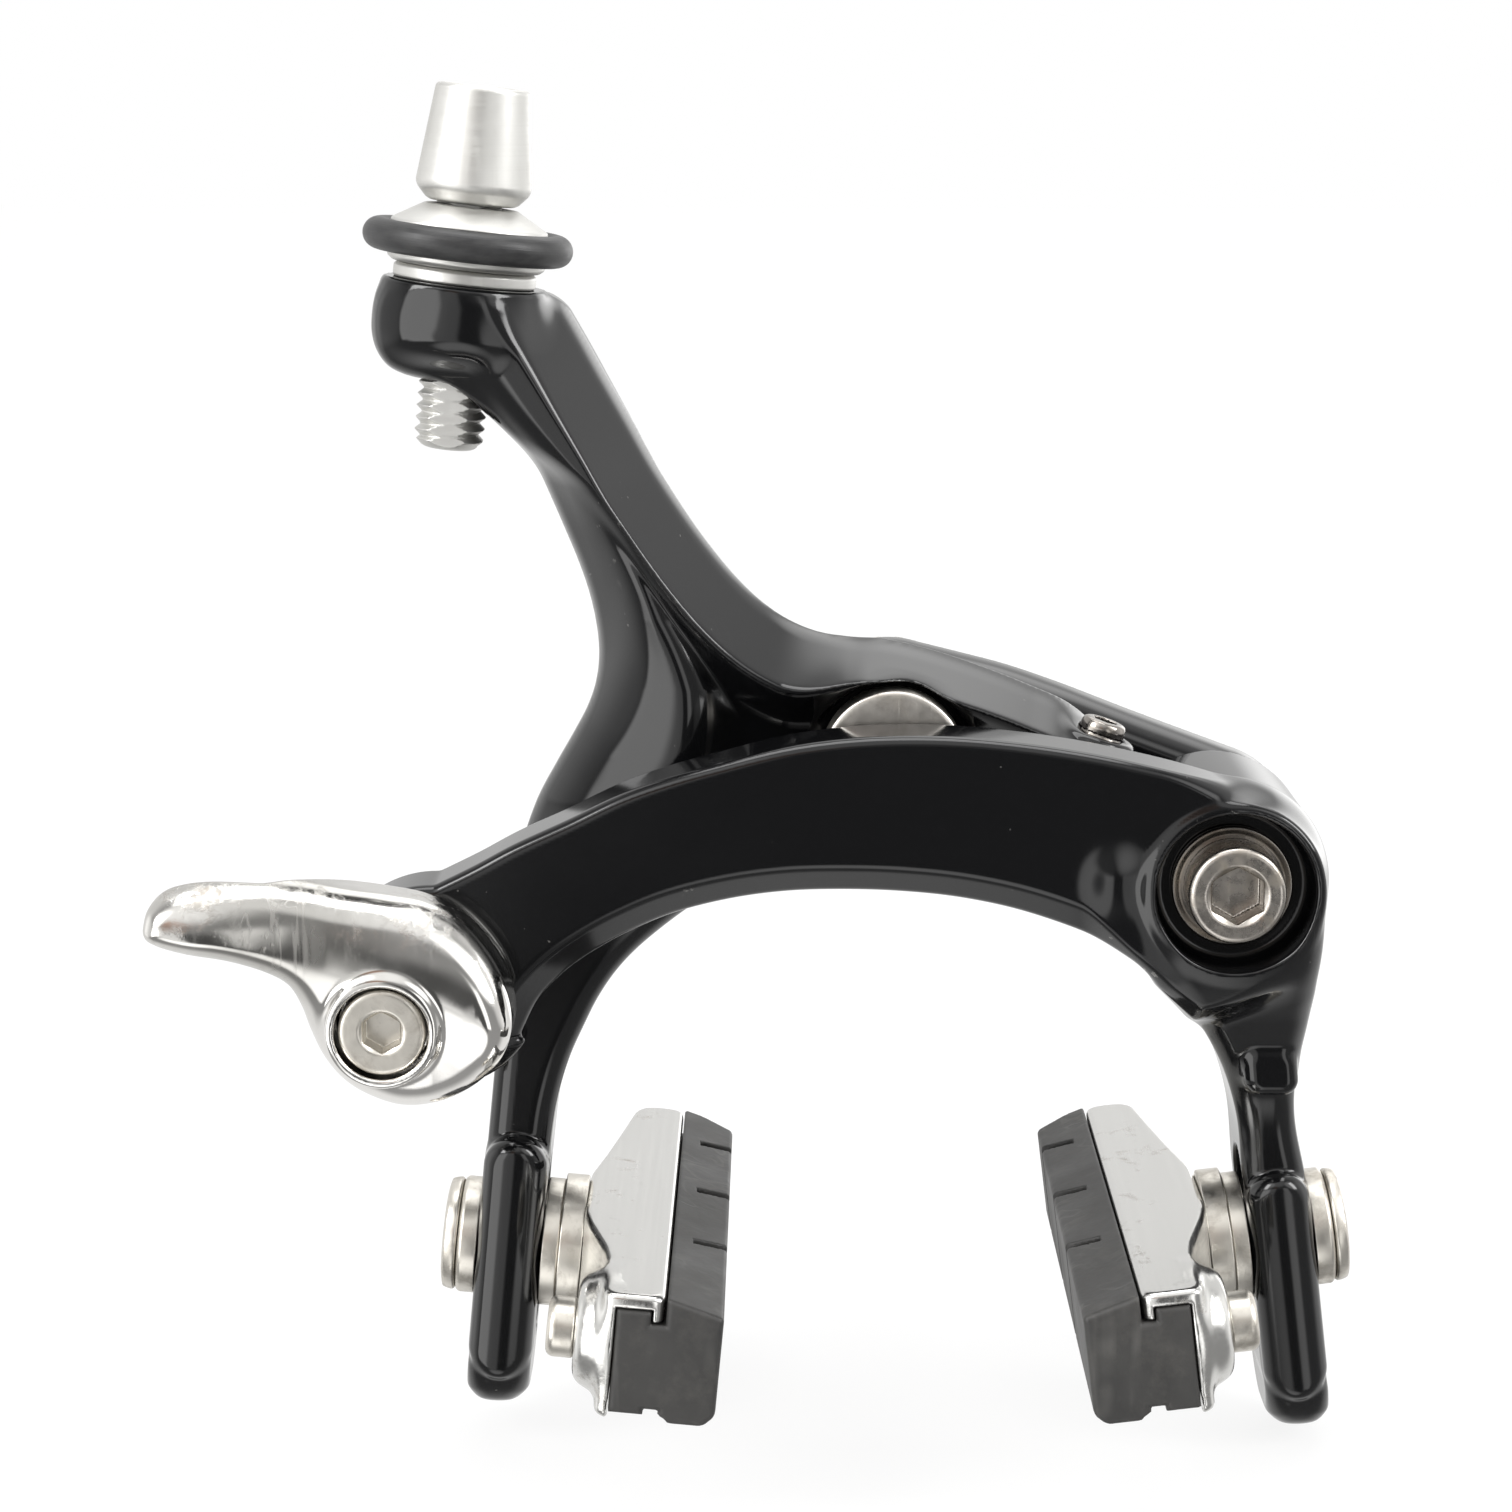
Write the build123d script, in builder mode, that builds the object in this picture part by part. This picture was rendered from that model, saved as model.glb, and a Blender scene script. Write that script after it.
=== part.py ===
from build123d import *
import math
import os

# Dual-pivot side-pull rim brake caliper for a road bicycle, in millimetres.
# Frame: origin where the mounting-bolt axis meets the rear mounting face,
# +X to the side-pivot side, +Y rearward along the mounting bolt, +Z up.
# "Left" is -X and "right" is +X, as seen from the front.
# The arms are drawn at spring-open rest, so each leg leans out a few degrees.

os.makedirs("parts", exist_ok=True)

# ---------------------------------------------------------------- dimensions
# Layers along the mounting bolt, as distances in front of the mounting face
# (Y = -value).
WASHER_T = 1.5          # toothed washer behind the bridge
BRIDGE_FRONT = 8.0
LEG_BACK = 6.4          # both pad straps
LEG_FRONT = 19.6
Y_ARM_BACK = 8.7        # adjuster arm
Y_ARM_WEB_FRONT = 16.9
C_ARM_BACK = 8.1        # front arch arm
ARCH_BACK = 20.2
ARCH_FRONT = 27.0

RUN = 0.05              # running clearance, radial
SEAT_GAP = 0.01         # between stacked pieces

# mounting bolt, M6
STUD_R = 3.0
STUD_OUT = 15.0         # free length behind the mounting face
CENTRE_HEAD_R = 6.1
CENTRE_HEAD_BACK = 15.4
CENTRE_BUSH_R = 4.2

# side pivot, M5
SIDE_X, SIDE_Z = 28.1, -9.3
SIDE_BOSS_R = 8.15
SIDE_BOSS_RIGHT = SIDE_X + SIDE_BOSS_R
SIDE_BOLT_R = 2.5
SIDE_BORE_R = SIDE_BOLT_R + 0.02
SIDE_BUSH_R = 3.7

# quick release: cam drum and the off-centre cable anchor bolt
CAM_X, CAM_Z = -38.5, -17.9
CAM_R = 6.5
ANCHOR_X, ANCHOR_Z = -41.8, -19.1
ANCHOR_BOLT_R = 2.5

# pads and straps
PAD_Y = -(LEG_BACK + LEG_FRONT) / 2     # bolt axis of both pads
PAD_SCREW_Y = PAD_Y - 21.0              # retaining screw of the rubber
PAD_MID_Y = -12.75                      # middle of the rubber
PAD_LEN = 53.5
PAD_BOLT_R = 2.95                       # M6
HALF_STRAP = 5.5 / 2                    # half the strap thickness across the leg
STRAP_END_R = (LEG_FRONT - LEG_BACK) / 2
SLOT_W = 6.3
SLOT_TRAVEL = 10.0                      # 39 to 49 mm reach

# return spring and its shoe
SPRING_R = 0.85
SPRING_SLOPE = 0.3                      # rise per unit of X at the bracket end
SPRING_ROOT = (-4.6, -4.7, -9.4)
SHOE_X, SHOE_Z = -31.6, -22.8

# cable adjuster, its axis leaning towards the mounting bolt at the top
ADJUSTER_LEAN = math.radians(6.6)
ADJUSTER_ORIGIN = (-35.75, -13.0, 43.3)     # centre of the grip ring
ADJUSTER_DIR = (math.sin(ADJUSTER_LEAN), 0, math.cos(ADJUSTER_LEAN))
ADJUSTER_ACROSS = (ADJUSTER_DIR[2], 0, -ADJUSTER_DIR[0])
ADJUSTER_AXIS = Axis(ADJUSTER_ORIGIN, ADJUSTER_DIR)
# plane holding the adjuster axis, local x across it and local y along it
ADJUSTER_AXIAL = Plane(origin=ADJUSTER_ORIGIN, x_dir=ADJUSTER_ACROSS, z_dir=(0, -1, 0))
ADJUSTER_BOSS_TOP = -3.4                    # along the axis from the grip ring
ADJUSTER_BOSS_H = 6.2
THREAD_ROOT_R, THREAD_CREST_R = 2.45, 2.95
NUT_BORE_R = THREAD_CREST_R + 0.06


# ------------------------------------------------------------------- helpers
def front(distance):
    """Plane facing the front, that far in front of the mounting face."""
    return Plane.XZ.offset(distance)


def adjuster_plane(height):
    """Plane square to the adjuster axis, that far above the grip ring."""
    x, y, z = ADJUSTER_ORIGIN
    return Plane(origin=(x + height * ADJUSTER_DIR[0], y, z + height * ADJUSTER_DIR[2]),
                 x_dir=ADJUSTER_ACROSS, z_dir=ADJUSTER_DIR)


def bolt_axial(x, z):
    """Plane holding a front-to-rear axis: local x radial, local y = Y."""
    return Plane(origin=(x, 0, z), x_dir=(1, 0, 0), z_dir=(0, 0, 1))


def bolt_axis(x, z):
    return Axis((x, 0, z), (0, 1, 0))


def hex_radius(across_flats):
    return across_flats / 2 / math.cos(math.radians(30))


# Front-view frame on the line from the mounting bolt to the side pivot.
PIVOT_SPAN = math.hypot(SIDE_X, SIDE_Z)
ALONG = (SIDE_X / PIVOT_SPAN, SIDE_Z / PIVOT_SPAN)
ACROSS = (-ALONG[1], ALONG[0])


def pivot_line(along, above):
    """(X, Z) of a point given along the pivot line and above it."""
    return (along * ALONG[0] + above * ACROSS[0], along * ALONG[1] + above * ACROSS[1])


# where the centring screw meets the lobe of the arch arm
SYNC_X, SYNC_Z = pivot_line(16.6, 0)
SYNC_ORIGIN = (SYNC_X, PAD_Y, SYNC_Z)
SYNC_DIR = (ACROSS[0], 0, ACROSS[1])
SYNC_GAP = 0.12


class PadSide:
    """Place and directions of one pad set; side is +1 when inward is +X."""

    def __init__(self, name, x, z, lean_degrees, side):
        lean = math.radians(lean_degrees)
        self.name, self.x, self.z, self.side = name, x, z, side
        self.inward = (side * math.cos(lean), 0, -math.sin(lean))
        self.up = (side * math.sin(lean), 0, math.cos(lean))

    def point(self, inward, up):
        """(X, Z) of a point given inward of the strap's middle and up along it."""
        return (self.x + inward * self.inward[0] + up * self.up[0],
                self.z + inward * self.inward[2] + up * self.up[2])

    def facing_in(self, inward, y=PAD_Y):
        """Plane facing inward, that far inward of the strap's middle."""
        x, z = self.point(inward, 0)
        return Plane(origin=(x, y, z), x_dir=(0, 1, 0), z_dir=self.inward)

    def axial(self, y=PAD_Y):
        """Plane square to Y: local x inward, local y up the strap."""
        return Plane(origin=(self.x, y, self.z), x_dir=self.inward, z_dir=(0, -self.side, 0))

    def plan(self, up):
        """Plane square to the strap: local x inward, local y rearward * side."""
        return Plane(origin=(self.x, PAD_Y, self.z), x_dir=self.inward,
                     z_dir=self.up).offset(up)

    def axis(self, y=PAD_Y):
        return Axis((self.x, y, self.z), self.inward)

    def plan_points(self, points):
        """Local plan points from (inward, rearward) pairs."""
        return [(inward, rearward * self.side) for inward, rearward in points]

    def strap_end(self, shoulder, shoulder_low, tip):
        """Rounded lower end of the strap, from its outer to its inner face."""
        return [self.point(-HALF_STRAP, shoulder), self.point(-1.7, shoulder_low),
                self.point(0, tip), self.point(1.7, shoulder_low),
                self.point(HALF_STRAP, shoulder)]


LEFT_PAD = PadSide("left", -33.2, -43.9, 5.4, 1)
RIGHT_PAD = PadSide("right", 34.2, -43.1, 7.2, -1)


def save(builder, name):
    builder.part.label = name
    export_step(builder.part, f"parts/{name}.step")


def fillet_largest(builder, chosen, radii):
    """Round the chosen edges with the first radius that can be built."""
    for radius in radii:
        # guards against a radius too large for the neighbouring faces
        try:
            fillet(builder.edges().filter_by(chosen), radius)
            break
        except Exception:
            continue


def make_tube(name, back, front_end, outer_r, inner_r, centre=(0, 0)):
    """Plain bush or washer on a front-to-rear axis."""
    with BuildPart() as tube:
        with BuildSketch(front(back)):
            with Locations(centre):
                Circle(outer_r)
                Circle(inner_r, mode=Mode.SUBTRACT)
        extrude(amount=front_end - back)
    save(tube, name)


def make_turned(name, plane, axis, profile):
    """Piece revolved from a closed straight-sided profile."""
    with BuildPart() as turned:
        with BuildSketch(plane):
            with BuildLine():
                Polyline(*profile, close=True)
            make_face()
        revolve(axis=axis)
    save(turned, name)


def make_bolt(name, x, z, profile, socket_flats, socket_depth, socket_chamfer=0):
    """Bolt along Y with a hexagon socket in its front; profile is (radius, Y)."""
    head_front = -min(y for _, y in profile)
    with BuildPart() as bolt:
        with BuildSketch(bolt_axial(x, z)):
            with BuildLine():
                Polyline(*profile, close=True)
            make_face()
        revolve(axis=bolt_axis(x, z))
        with BuildSketch(front(head_front)):
            with Locations((x, z)):
                RegularPolygon(hex_radius(socket_flats), 6)
        extrude(amount=-socket_depth, mode=Mode.SUBTRACT)
        if socket_chamfer:
            chamfer(bolt.edges().filter_by(GeomType.LINE)
                    .filter_by(lambda edge: abs(edge.center().Y + head_front) < 0.01),
                    socket_chamfer)
    save(bolt, name)


# ------------------------------------------------------------------- bridge
MOUNT_BOSS_R = 8.2
SIDE_END_R = 8.0
SOCKET_X = -12.0        # start of the spring socket, outside the ear

with BuildPart() as bracket:
    with BuildSketch(front(WASHER_T)):
        with BuildLine():
            # two bosses joined by tangent flanks, slightly waisted below
            Spline(pivot_line(0, MOUNT_BOSS_R), pivot_line(10, 8.3), pivot_line(20, 8.2),
                   pivot_line(PIVOT_SPAN, SIDE_END_R), tangents=[ALONG, ALONG])
            ThreePointArc(pivot_line(PIVOT_SPAN, SIDE_END_R),
                          pivot_line(PIVOT_SPAN + SIDE_END_R, 0),
                          pivot_line(PIVOT_SPAN, -SIDE_END_R))
            Spline(pivot_line(PIVOT_SPAN, -SIDE_END_R), pivot_line(22, -6.4),
                   pivot_line(12, -6.2), pivot_line(0, -MOUNT_BOSS_R),
                   tangents=[(-ALONG[0], -ALONG[1]), (-ALONG[0], -ALONG[1])])
            ThreePointArc(pivot_line(0, -MOUNT_BOSS_R), pivot_line(-MOUNT_BOSS_R, 0),
                          pivot_line(0, MOUNT_BOSS_R))
        make_face()
    extrude(amount=BRIDGE_FRONT - WASHER_T)
    # rounded rear rim
    fillet(bracket.edges().filter_by(GeomType.LINE, reverse=True)
           .filter_by(lambda edge: abs(edge.center().Y + WASHER_T) < 0.01), 1.4)
    # lightening pocket in the rear face between the bosses
    with BuildSketch(front(WASHER_T)):
        with Locations(pivot_line(15.2, 0.6)):
            SlotOverall(10.5, 5.6, rotation=math.degrees(math.atan2(ALONG[1], ALONG[0])))
    extrude(amount=3.0, mode=Mode.SUBTRACT)
    # spring ear below the mounting boss
    with BuildSketch(front(2.2)):
        with BuildLine():
            Polyline((-5.6, -4.5), (-9.2, -8.0), (-9.2, -12.9), (-5.0, -12.9),
                     (-1.6, -7.6), close=True)
        make_face()
    extrude(amount=5.2)
    with Locations(front(WASHER_T).location):
        Hole(STUD_R + 0.05)
    with Locations(front(WASHER_T).shift_origin((SIDE_X, -WASHER_T, SIDE_Z)).location):
        Hole(SIDE_BORE_R)
    # spring leg socket, open to the outer side of the ear
    socket_z = SPRING_ROOT[2] - SPRING_SLOPE * (SPRING_ROOT[0] - SOCKET_X)
    with BuildSketch(Plane(origin=(SOCKET_X, SPRING_ROOT[1], socket_z),
                           z_dir=(1, 0, SPRING_SLOPE))):
        Circle(SPRING_R + 0.15)
    extrude(amount=8.2, mode=Mode.SUBTRACT)
save(bracket, "bracket")

# toothed washer behind the bridge
with BuildPart() as mount_washer:
    with BuildSketch(Plane.XZ):
        Circle(7.9)
        Circle(STUD_R + 0.1, mode=Mode.SUBTRACT)
    extrude(amount=WASHER_T - 0.02)
    # radial grooves in the rear face leave the teeth
    with BuildSketch(Plane.XZ):
        with PolarLocations(6.9, 24):
            Rectangle(2.4, 0.7)
    extrude(amount=0.45, mode=Mode.SUBTRACT)
    # outer front rim
    chamfer(mount_washer.edges().filter_by(GeomType.CIRCLE)
            .filter_by(lambda edge: edge.radius > 7.5)
            .filter_by(lambda edge: edge.center().Y < -1.4), 0.3)
save(mount_washer, "mount_washer")

# ------------------------------------------------------------ mounting bolt
# full diameter only on the free end, relieved through the bridge
make_bolt("centre_bolt", 0, 0,
          [(0, STUD_OUT), (2.5, STUD_OUT), (STUD_R, STUD_OUT - 0.6),
           (STUD_R, 0.1), (STUD_R - 0.2, 0.1),
           (STUD_R - 0.2, -CENTRE_HEAD_BACK), (CENTRE_HEAD_R, -CENTRE_HEAD_BACK),
           (CENTRE_HEAD_R, -18.2), (CENTRE_HEAD_R - 0.6, -18.9), (0, -18.9)],
          socket_flats=5, socket_depth=2.6)
make_tube("centre_bush", 8.6, CENTRE_HEAD_BACK - SEAT_GAP, CENTRE_BUSH_R, STUD_R + 0.01)
make_tube("centre_thrust_washer", BRIDGE_FRONT + SEAT_GAP, 8.59, 7.4, STUD_R + 0.05)

# --------------------------------------------------------------- side pivot
make_bolt("side_pivot_bolt", SIDE_X, SIDE_Z,
          [(0, -2.2), (2.1, -2.2), (SIDE_BOLT_R, -2.6), (SIDE_BOLT_R, -24.2),
           (4.0, -24.2), (4.0, -27.7), (3.4, -28.3), (0, -28.3)],
          socket_flats=4, socket_depth=2.8, socket_chamfer=0.25)
# dished washer, rim nearest the front
make_turned("side_pivot_washer", bolt_axial(SIDE_X, SIDE_Z), bolt_axis(SIDE_X, SIDE_Z),
            [(2.6, -23.56), (4.9, -23.56), (5.1, -23.8), (5.1, -24.3),
             (4.9, -24.45), (4.4, -24.18), (2.6, -24.18)])
make_tube("side_bush", BRIDGE_FRONT + SEAT_GAP, 23.54, SIDE_BUSH_R, SIDE_BORE_R,
          centre=(SIDE_X, SIDE_Z))

# ------------------------------------------------------------- adjuster arm
# Front-view outlines, (X, Z).
# outer edge, from the stem top down to the strap
Y_ARM_OUTER = [
    (-42.3, 40.6), (-43.3, 37.6), (-43.3, 34.4), (-41.4, 32.5), (-37.5, 31.3),
    (-33.9, 28.8), (-30.7, 25.0), (-28.0, 19.0), (-26.1, 14.0), (-25.2, 8.3),
    (-26.1, 3.7), (-29.0, -1.6), (-31.8, -7.0), (-33.4, -14.0), (-34.0, -22.0),
    (-34.7, -30.1), LEFT_PAD.point(-HALF_STRAP, 5.6)]
# inner edge, from the strap up to the underside of the hub
Y_ARM_INNER = [
    LEFT_PAD.point(HALF_STRAP, 5.6), (-29.4, -32.8), (-27.9, -26.6), (-25.2, -21.2),
    (-21.0, -15.8), (-14.5, -11.2), (-8.0, -9.2), (-1.2, -8.52)]
# top edge, from the centring-screw lug over the hub to the stem top
Y_ARM_TOP = [
    pivot_line(19.2, 6.6), (14.6, 3.9), (7.6, 6.9), (3.0, 8.3), (-3.6, 9.4),
    (-8.8, 10.9), (-13.1, 14.5), (-17.6, 20.3), (-22.3, 27.9), (-26.5, 35.5),
    (-29.2, 39.6)]
Y_ARM_STRAP_END = LEFT_PAD.strap_end(-12.8, -14.7, -15.2)
HUB_END = (8.2, 2.6)
STEM_TOP_Z = 41.5       # side profile, trimmed later at the adjuster boss
Y_STRAP_LOW_Z = -52.8   # where the rounded strap end starts

with BuildPart() as y_arm:
    # stem, hub and leg seen from the front, deeper than the finished arm
    with BuildSketch(front(Y_ARM_BACK)):
        with BuildLine():
            Spline(*Y_ARM_OUTER)
            Line(Y_ARM_OUTER[-1], Y_ARM_STRAP_END[0])
            Spline(*Y_ARM_STRAP_END)
            Line(Y_ARM_STRAP_END[-1], Y_ARM_INNER[0])
            Spline(*Y_ARM_INNER)
            ThreePointArc(Y_ARM_INNER[-1], (8.0, -3.2), HUB_END)
            Line(HUB_END, pivot_line(13.2, 2.4))
            Line(pivot_line(13.2, 2.4), pivot_line(19.0, 2.4))
            Line(pivot_line(19.0, 2.4), Y_ARM_TOP[0])
            Spline(*Y_ARM_TOP)
            Line(Y_ARM_TOP[-1], Y_ARM_OUTER[0])
        make_face()
    extrude(amount=13.1, both=True)
    # side profile in (Y, Z): deep stem top, thinner hub, deep strap
    with BuildSketch(Plane.YZ.offset(-60)):
        with BuildLine():
            Polyline((-LEG_BACK, STEM_TOP_Z), (-LEG_FRONT, STEM_TOP_Z), (-LEG_FRONT, 34.0))
            Spline((-LEG_FRONT, 34.0), (-18.9, 28.0), (-18.5, 18.0), (-18.0, 9.0),
                   (-Y_ARM_WEB_FRONT, 0.0), tangents=[(0, -1), (0, -1)])
            Line((-Y_ARM_WEB_FRONT, 0.0), (-Y_ARM_WEB_FRONT, -31.0))
            Spline((-Y_ARM_WEB_FRONT, -31.0), (-18.2, -34.2), (-LEG_FRONT, -38.0),
                   tangents=[(0, -1), (0, -1)])
            Line((-LEG_FRONT, -38.0), (-LEG_FRONT, Y_STRAP_LOW_Z))
            ThreePointArc((-LEG_FRONT, Y_STRAP_LOW_Z), (PAD_Y, Y_STRAP_LOW_Z - STRAP_END_R),
                          (-LEG_BACK, Y_STRAP_LOW_Z))
            Line((-LEG_BACK, Y_STRAP_LOW_Z), (-LEG_BACK, -32.0))
            Spline((-LEG_BACK, -32.0), (-7.6, -26.0), (-Y_ARM_BACK, -20.0),
                   tangents=[(0, 1), (0, 1)])
            Line((-Y_ARM_BACK, -20.0), (-Y_ARM_BACK, 24.0))
            Spline((-Y_ARM_BACK, 24.0), (-7.5, 29.0), (-LEG_BACK, 34.0),
                   tangents=[(0, 1), (0, 1)])
            Line((-LEG_BACK, 34.0), (-LEG_BACK, STEM_TOP_Z))
        make_face()
    extrude(amount=100, mode=Mode.INTERSECT)
    # upright edges of the strap and stem
    fillet_largest(y_arm, lambda edge: edge.length > 6
                   and abs(edge.center().Y + 12.9) > 3.4
                   and (edge.center().Z < -30 or edge.center().Z > 9),
                   (1.6, 1.2, 0.8))
    # pocket for the mounting-bolt head, then the bush bore
    with BuildSketch(front(15.3)):
        Circle(CENTRE_HEAD_R + 0.8)
    extrude(amount=8, mode=Mode.SUBTRACT)
    with BuildSketch(front(0)):
        Circle(CENTRE_BUSH_R + RUN)
    extrude(amount=30, mode=Mode.SUBTRACT)
    # adjuster boss, cut square on top, and its flatted bore
    with BuildSketch(adjuster_plane(ADJUSTER_BOSS_TOP - ADJUSTER_BOSS_H)):
        Circle(6.5)
    extrude(amount=ADJUSTER_BOSS_H)
    with BuildSketch(adjuster_plane(ADJUSTER_BOSS_TOP)):
        Rectangle(40, 40)
    extrude(amount=10, mode=Mode.SUBTRACT)
    with BuildSketch(adjuster_plane(-30)):
        Circle(3.06)
        Rectangle(7, 5.0, mode=Mode.INTERSECT)
    extrude(amount=30, mode=Mode.SUBTRACT)
    # slot for the pad bolt
    with BuildSketch(LEFT_PAD.facing_in(-6)):
        SlotOverall(SLOT_TRAVEL + SLOT_W, SLOT_W, rotation=90)
    extrude(amount=12, mode=Mode.SUBTRACT)
    # threaded bore of the centring screw, modelled plain
    with BuildSketch(Plane(origin=SYNC_ORIGIN, x_dir=(0, 1, 0), z_dir=SYNC_DIR)):
        Circle(2.03)
    extrude(amount=12, mode=Mode.SUBTRACT)
    # flat and socket for the spring shoe in the rear of the leg
    with BuildSketch(front(5)):
        with Locations((SHOE_X, SHOE_Z)):
            Circle(2.5)
    extrude(amount=3.02, mode=Mode.SUBTRACT)
    with BuildSketch(front(7)):
        with Locations((SHOE_X, SHOE_Z)):
            Circle(1.27)
    extrude(amount=4.7, mode=Mode.SUBTRACT)
save(y_arm, "y_arm")

# ----------------------------------------------------------- front arch arm
# Front-view outlines, (X, Z).
# outer edge of the leg, from the side pivot down to the strap
C_LEG_OUTER = [
    (SIDE_BOSS_RIGHT, SIDE_Z), (36.1, -15.5), (35.5, -21.0), (35.0, -27.0),
    (35.2, -31.5), RIGHT_PAD.point(-HALF_STRAP, 6.0)]
# inner edge of the leg, from the strap up
C_LEG_INNER = [
    RIGHT_PAD.point(HALF_STRAP, 6.0), (30.1, -31.8), (28.6, -27.0), (26.0, -22.0),
    (22.6, -17.2)]
# upper edge of the arch, left to right
ARCH_TOP = [
    (-38.3, -8.9), (-34.8, -7.2), (-27.0, -3.3), (-18.8, 0.2), (-9.0, 2.8),
    (0.4, 3.7), (10.6, 3.1), (19.5, 1.6), (26.0, 0.1), (31.5, -1.9)]
# lower edge of the arch, right to left
ARCH_BOTTOM = [
    (23.6, -18.7), (19.0, -14.9), (14.8, -12.8), (5.3, -10.3), (-4.2, -9.7),
    (-13.7, -10.3), (-22.0, -13.3), (-26.8, -16.1), (-29.9, -19.6), (-32.6, -24.7)]
C_LEG_STRAP_END = RIGHT_PAD.strap_end(-15.6, -17.4, -17.9)
C_LEG_TOP_Z = -5.0      # side profile
C_STRAP_LOW_Z = -54.9   # where the rounded strap end starts

with BuildPart() as c_arm:
    # right leg seen from the front, deeper than the finished leg
    with BuildSketch(front(4)):
        with BuildLine():
            Spline(*C_LEG_OUTER)
            Line(C_LEG_OUTER[-1], C_LEG_STRAP_END[0])
            Spline(*C_LEG_STRAP_END)
            Line(C_LEG_STRAP_END[-1], C_LEG_INNER[0])
            Spline(*C_LEG_INNER)
            Line(C_LEG_INNER[-1], (22.6, SIDE_Z))
            Line((22.6, SIDE_Z), C_LEG_OUTER[0])
        make_face()
    extrude(amount=26)
    # side profile in (Y, Z)
    with BuildSketch(Plane.YZ.offset(15)):
        with BuildLine():
            Line((-C_ARM_BACK, C_LEG_TOP_Z), (-ARCH_FRONT, C_LEG_TOP_Z))
            Line((-ARCH_FRONT, C_LEG_TOP_Z), (-ARCH_FRONT, -13.0))
            Spline((-ARCH_FRONT, -13.0), (-26.0, -17.5), (-22.6, -22.0),
                   (-19.8, -27.5), (-18.3, -33.5), tangents=[(0, -1), (0, -1)])
            Spline((-18.3, -33.5), (-19.0, -36.4), (-LEG_FRONT, -39.0),
                   tangents=[(0, -1), (0, -1)])
            Line((-LEG_FRONT, -39.0), (-LEG_FRONT, C_STRAP_LOW_Z))
            ThreePointArc((-LEG_FRONT, C_STRAP_LOW_Z), (PAD_Y, C_STRAP_LOW_Z - STRAP_END_R),
                          (-LEG_BACK, C_STRAP_LOW_Z))
            Line((-LEG_BACK, C_STRAP_LOW_Z), (-LEG_BACK, -30.0))
            Spline((-LEG_BACK, -30.0), (-7.3, -23.0), (-C_ARM_BACK, -16.0),
                   tangents=[(0, 1), (0, 1)])
            Line((-C_ARM_BACK, -16.0), (-C_ARM_BACK, C_LEG_TOP_Z))
        make_face()
    extrude(amount=40, mode=Mode.INTERSECT)
    # upright edges of the leg
    fillet_largest(c_arm, lambda edge: edge.length > 5
                   and abs(edge.center().Y + 13.0) > 3.4
                   and edge.center().Z < -20,
                   (1.6, 1.2, 0.8))
    # arch, with an eye round the cam at its left end
    with BuildSketch(front(ARCH_BACK)):
        with BuildLine():
            Spline(*ARCH_TOP, tangents=[(1, 0.35), (1, -0.5)])
            ThreePointArc(ARCH_TOP[-1], (SIDE_BOSS_RIGHT, SIDE_Z), (31.2, -16.9))
            Line((31.2, -16.9), ARCH_BOTTOM[0])
            Spline(*ARCH_BOTTOM, tangents=[(-1, 1), (-0.6, -1)])
            ThreePointArc(ARCH_BOTTOM[-1], (-47.3, -19.6), ARCH_TOP[0])
        make_face()
    extrude(amount=ARCH_FRONT - ARCH_BACK)
    # side boss reaching back to the bridge
    with BuildSketch(front(C_ARM_BACK)):
        with Locations((SIDE_X, SIDE_Z)):
            Circle(SIDE_BOSS_R)
    extrude(amount=ARCH_FRONT - C_ARM_BACK)
    # synchronising lobe
    with BuildSketch(front(9.6)):
        with BuildLine():
            Polyline(pivot_line(13.4, 0), pivot_line(24, 0), pivot_line(26, -7.0),
                     pivot_line(20, -6.6), pivot_line(13.4, -3.0), close=True)
        make_face()
    extrude(amount=7.6)
    # lower front edge of the arch
    fillet_largest(c_arm, lambda edge: edge.length > 30
                   and edge.center().Y < -ARCH_FRONT + 0.1
                   and edge.center().Z < -8,
                   (1.6, 1.2, 0.8))
    # recess for the pivot-bolt head, then the bush bore
    with BuildSketch(front(23.5)):
        with Locations((SIDE_X, SIDE_Z)):
            Circle(6.6)
    extrude(amount=6, mode=Mode.SUBTRACT)
    with BuildSketch(front(0)):
        with Locations((SIDE_X, SIDE_Z)):
            Circle(SIDE_BUSH_R + RUN)
    extrude(amount=30, mode=Mode.SUBTRACT)
    # bore for the release cam
    with BuildSketch(front(0)):
        with Locations((CAM_X, CAM_Z)):
            Circle(CAM_R + RUN)
    extrude(amount=30, mode=Mode.SUBTRACT)
    # slot for the pad bolt
    with BuildSketch(RIGHT_PAD.facing_in(-6)):
        SlotOverall(SLOT_TRAVEL + SLOT_W, SLOT_W, rotation=90)
    extrude(amount=12, mode=Mode.SUBTRACT)
    # small rounded stop on the front of the leg
    with BuildSketch(front(18.0)):
        with Locations((32.6, -25.6)):
            RectangleRounded(3.6, 3.0, 1.2, rotation=-6)
    extrude(amount=3.4)
save(c_arm, "c_arm")

# ------------------------------------------------------- centring screw, M4
SCREW_TOP = 8.3         # above the pivot line
SCREW_TIP_R = 1.5
SCREW_TIP_CENTRE = SYNC_GAP + SCREW_TIP_R

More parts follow.
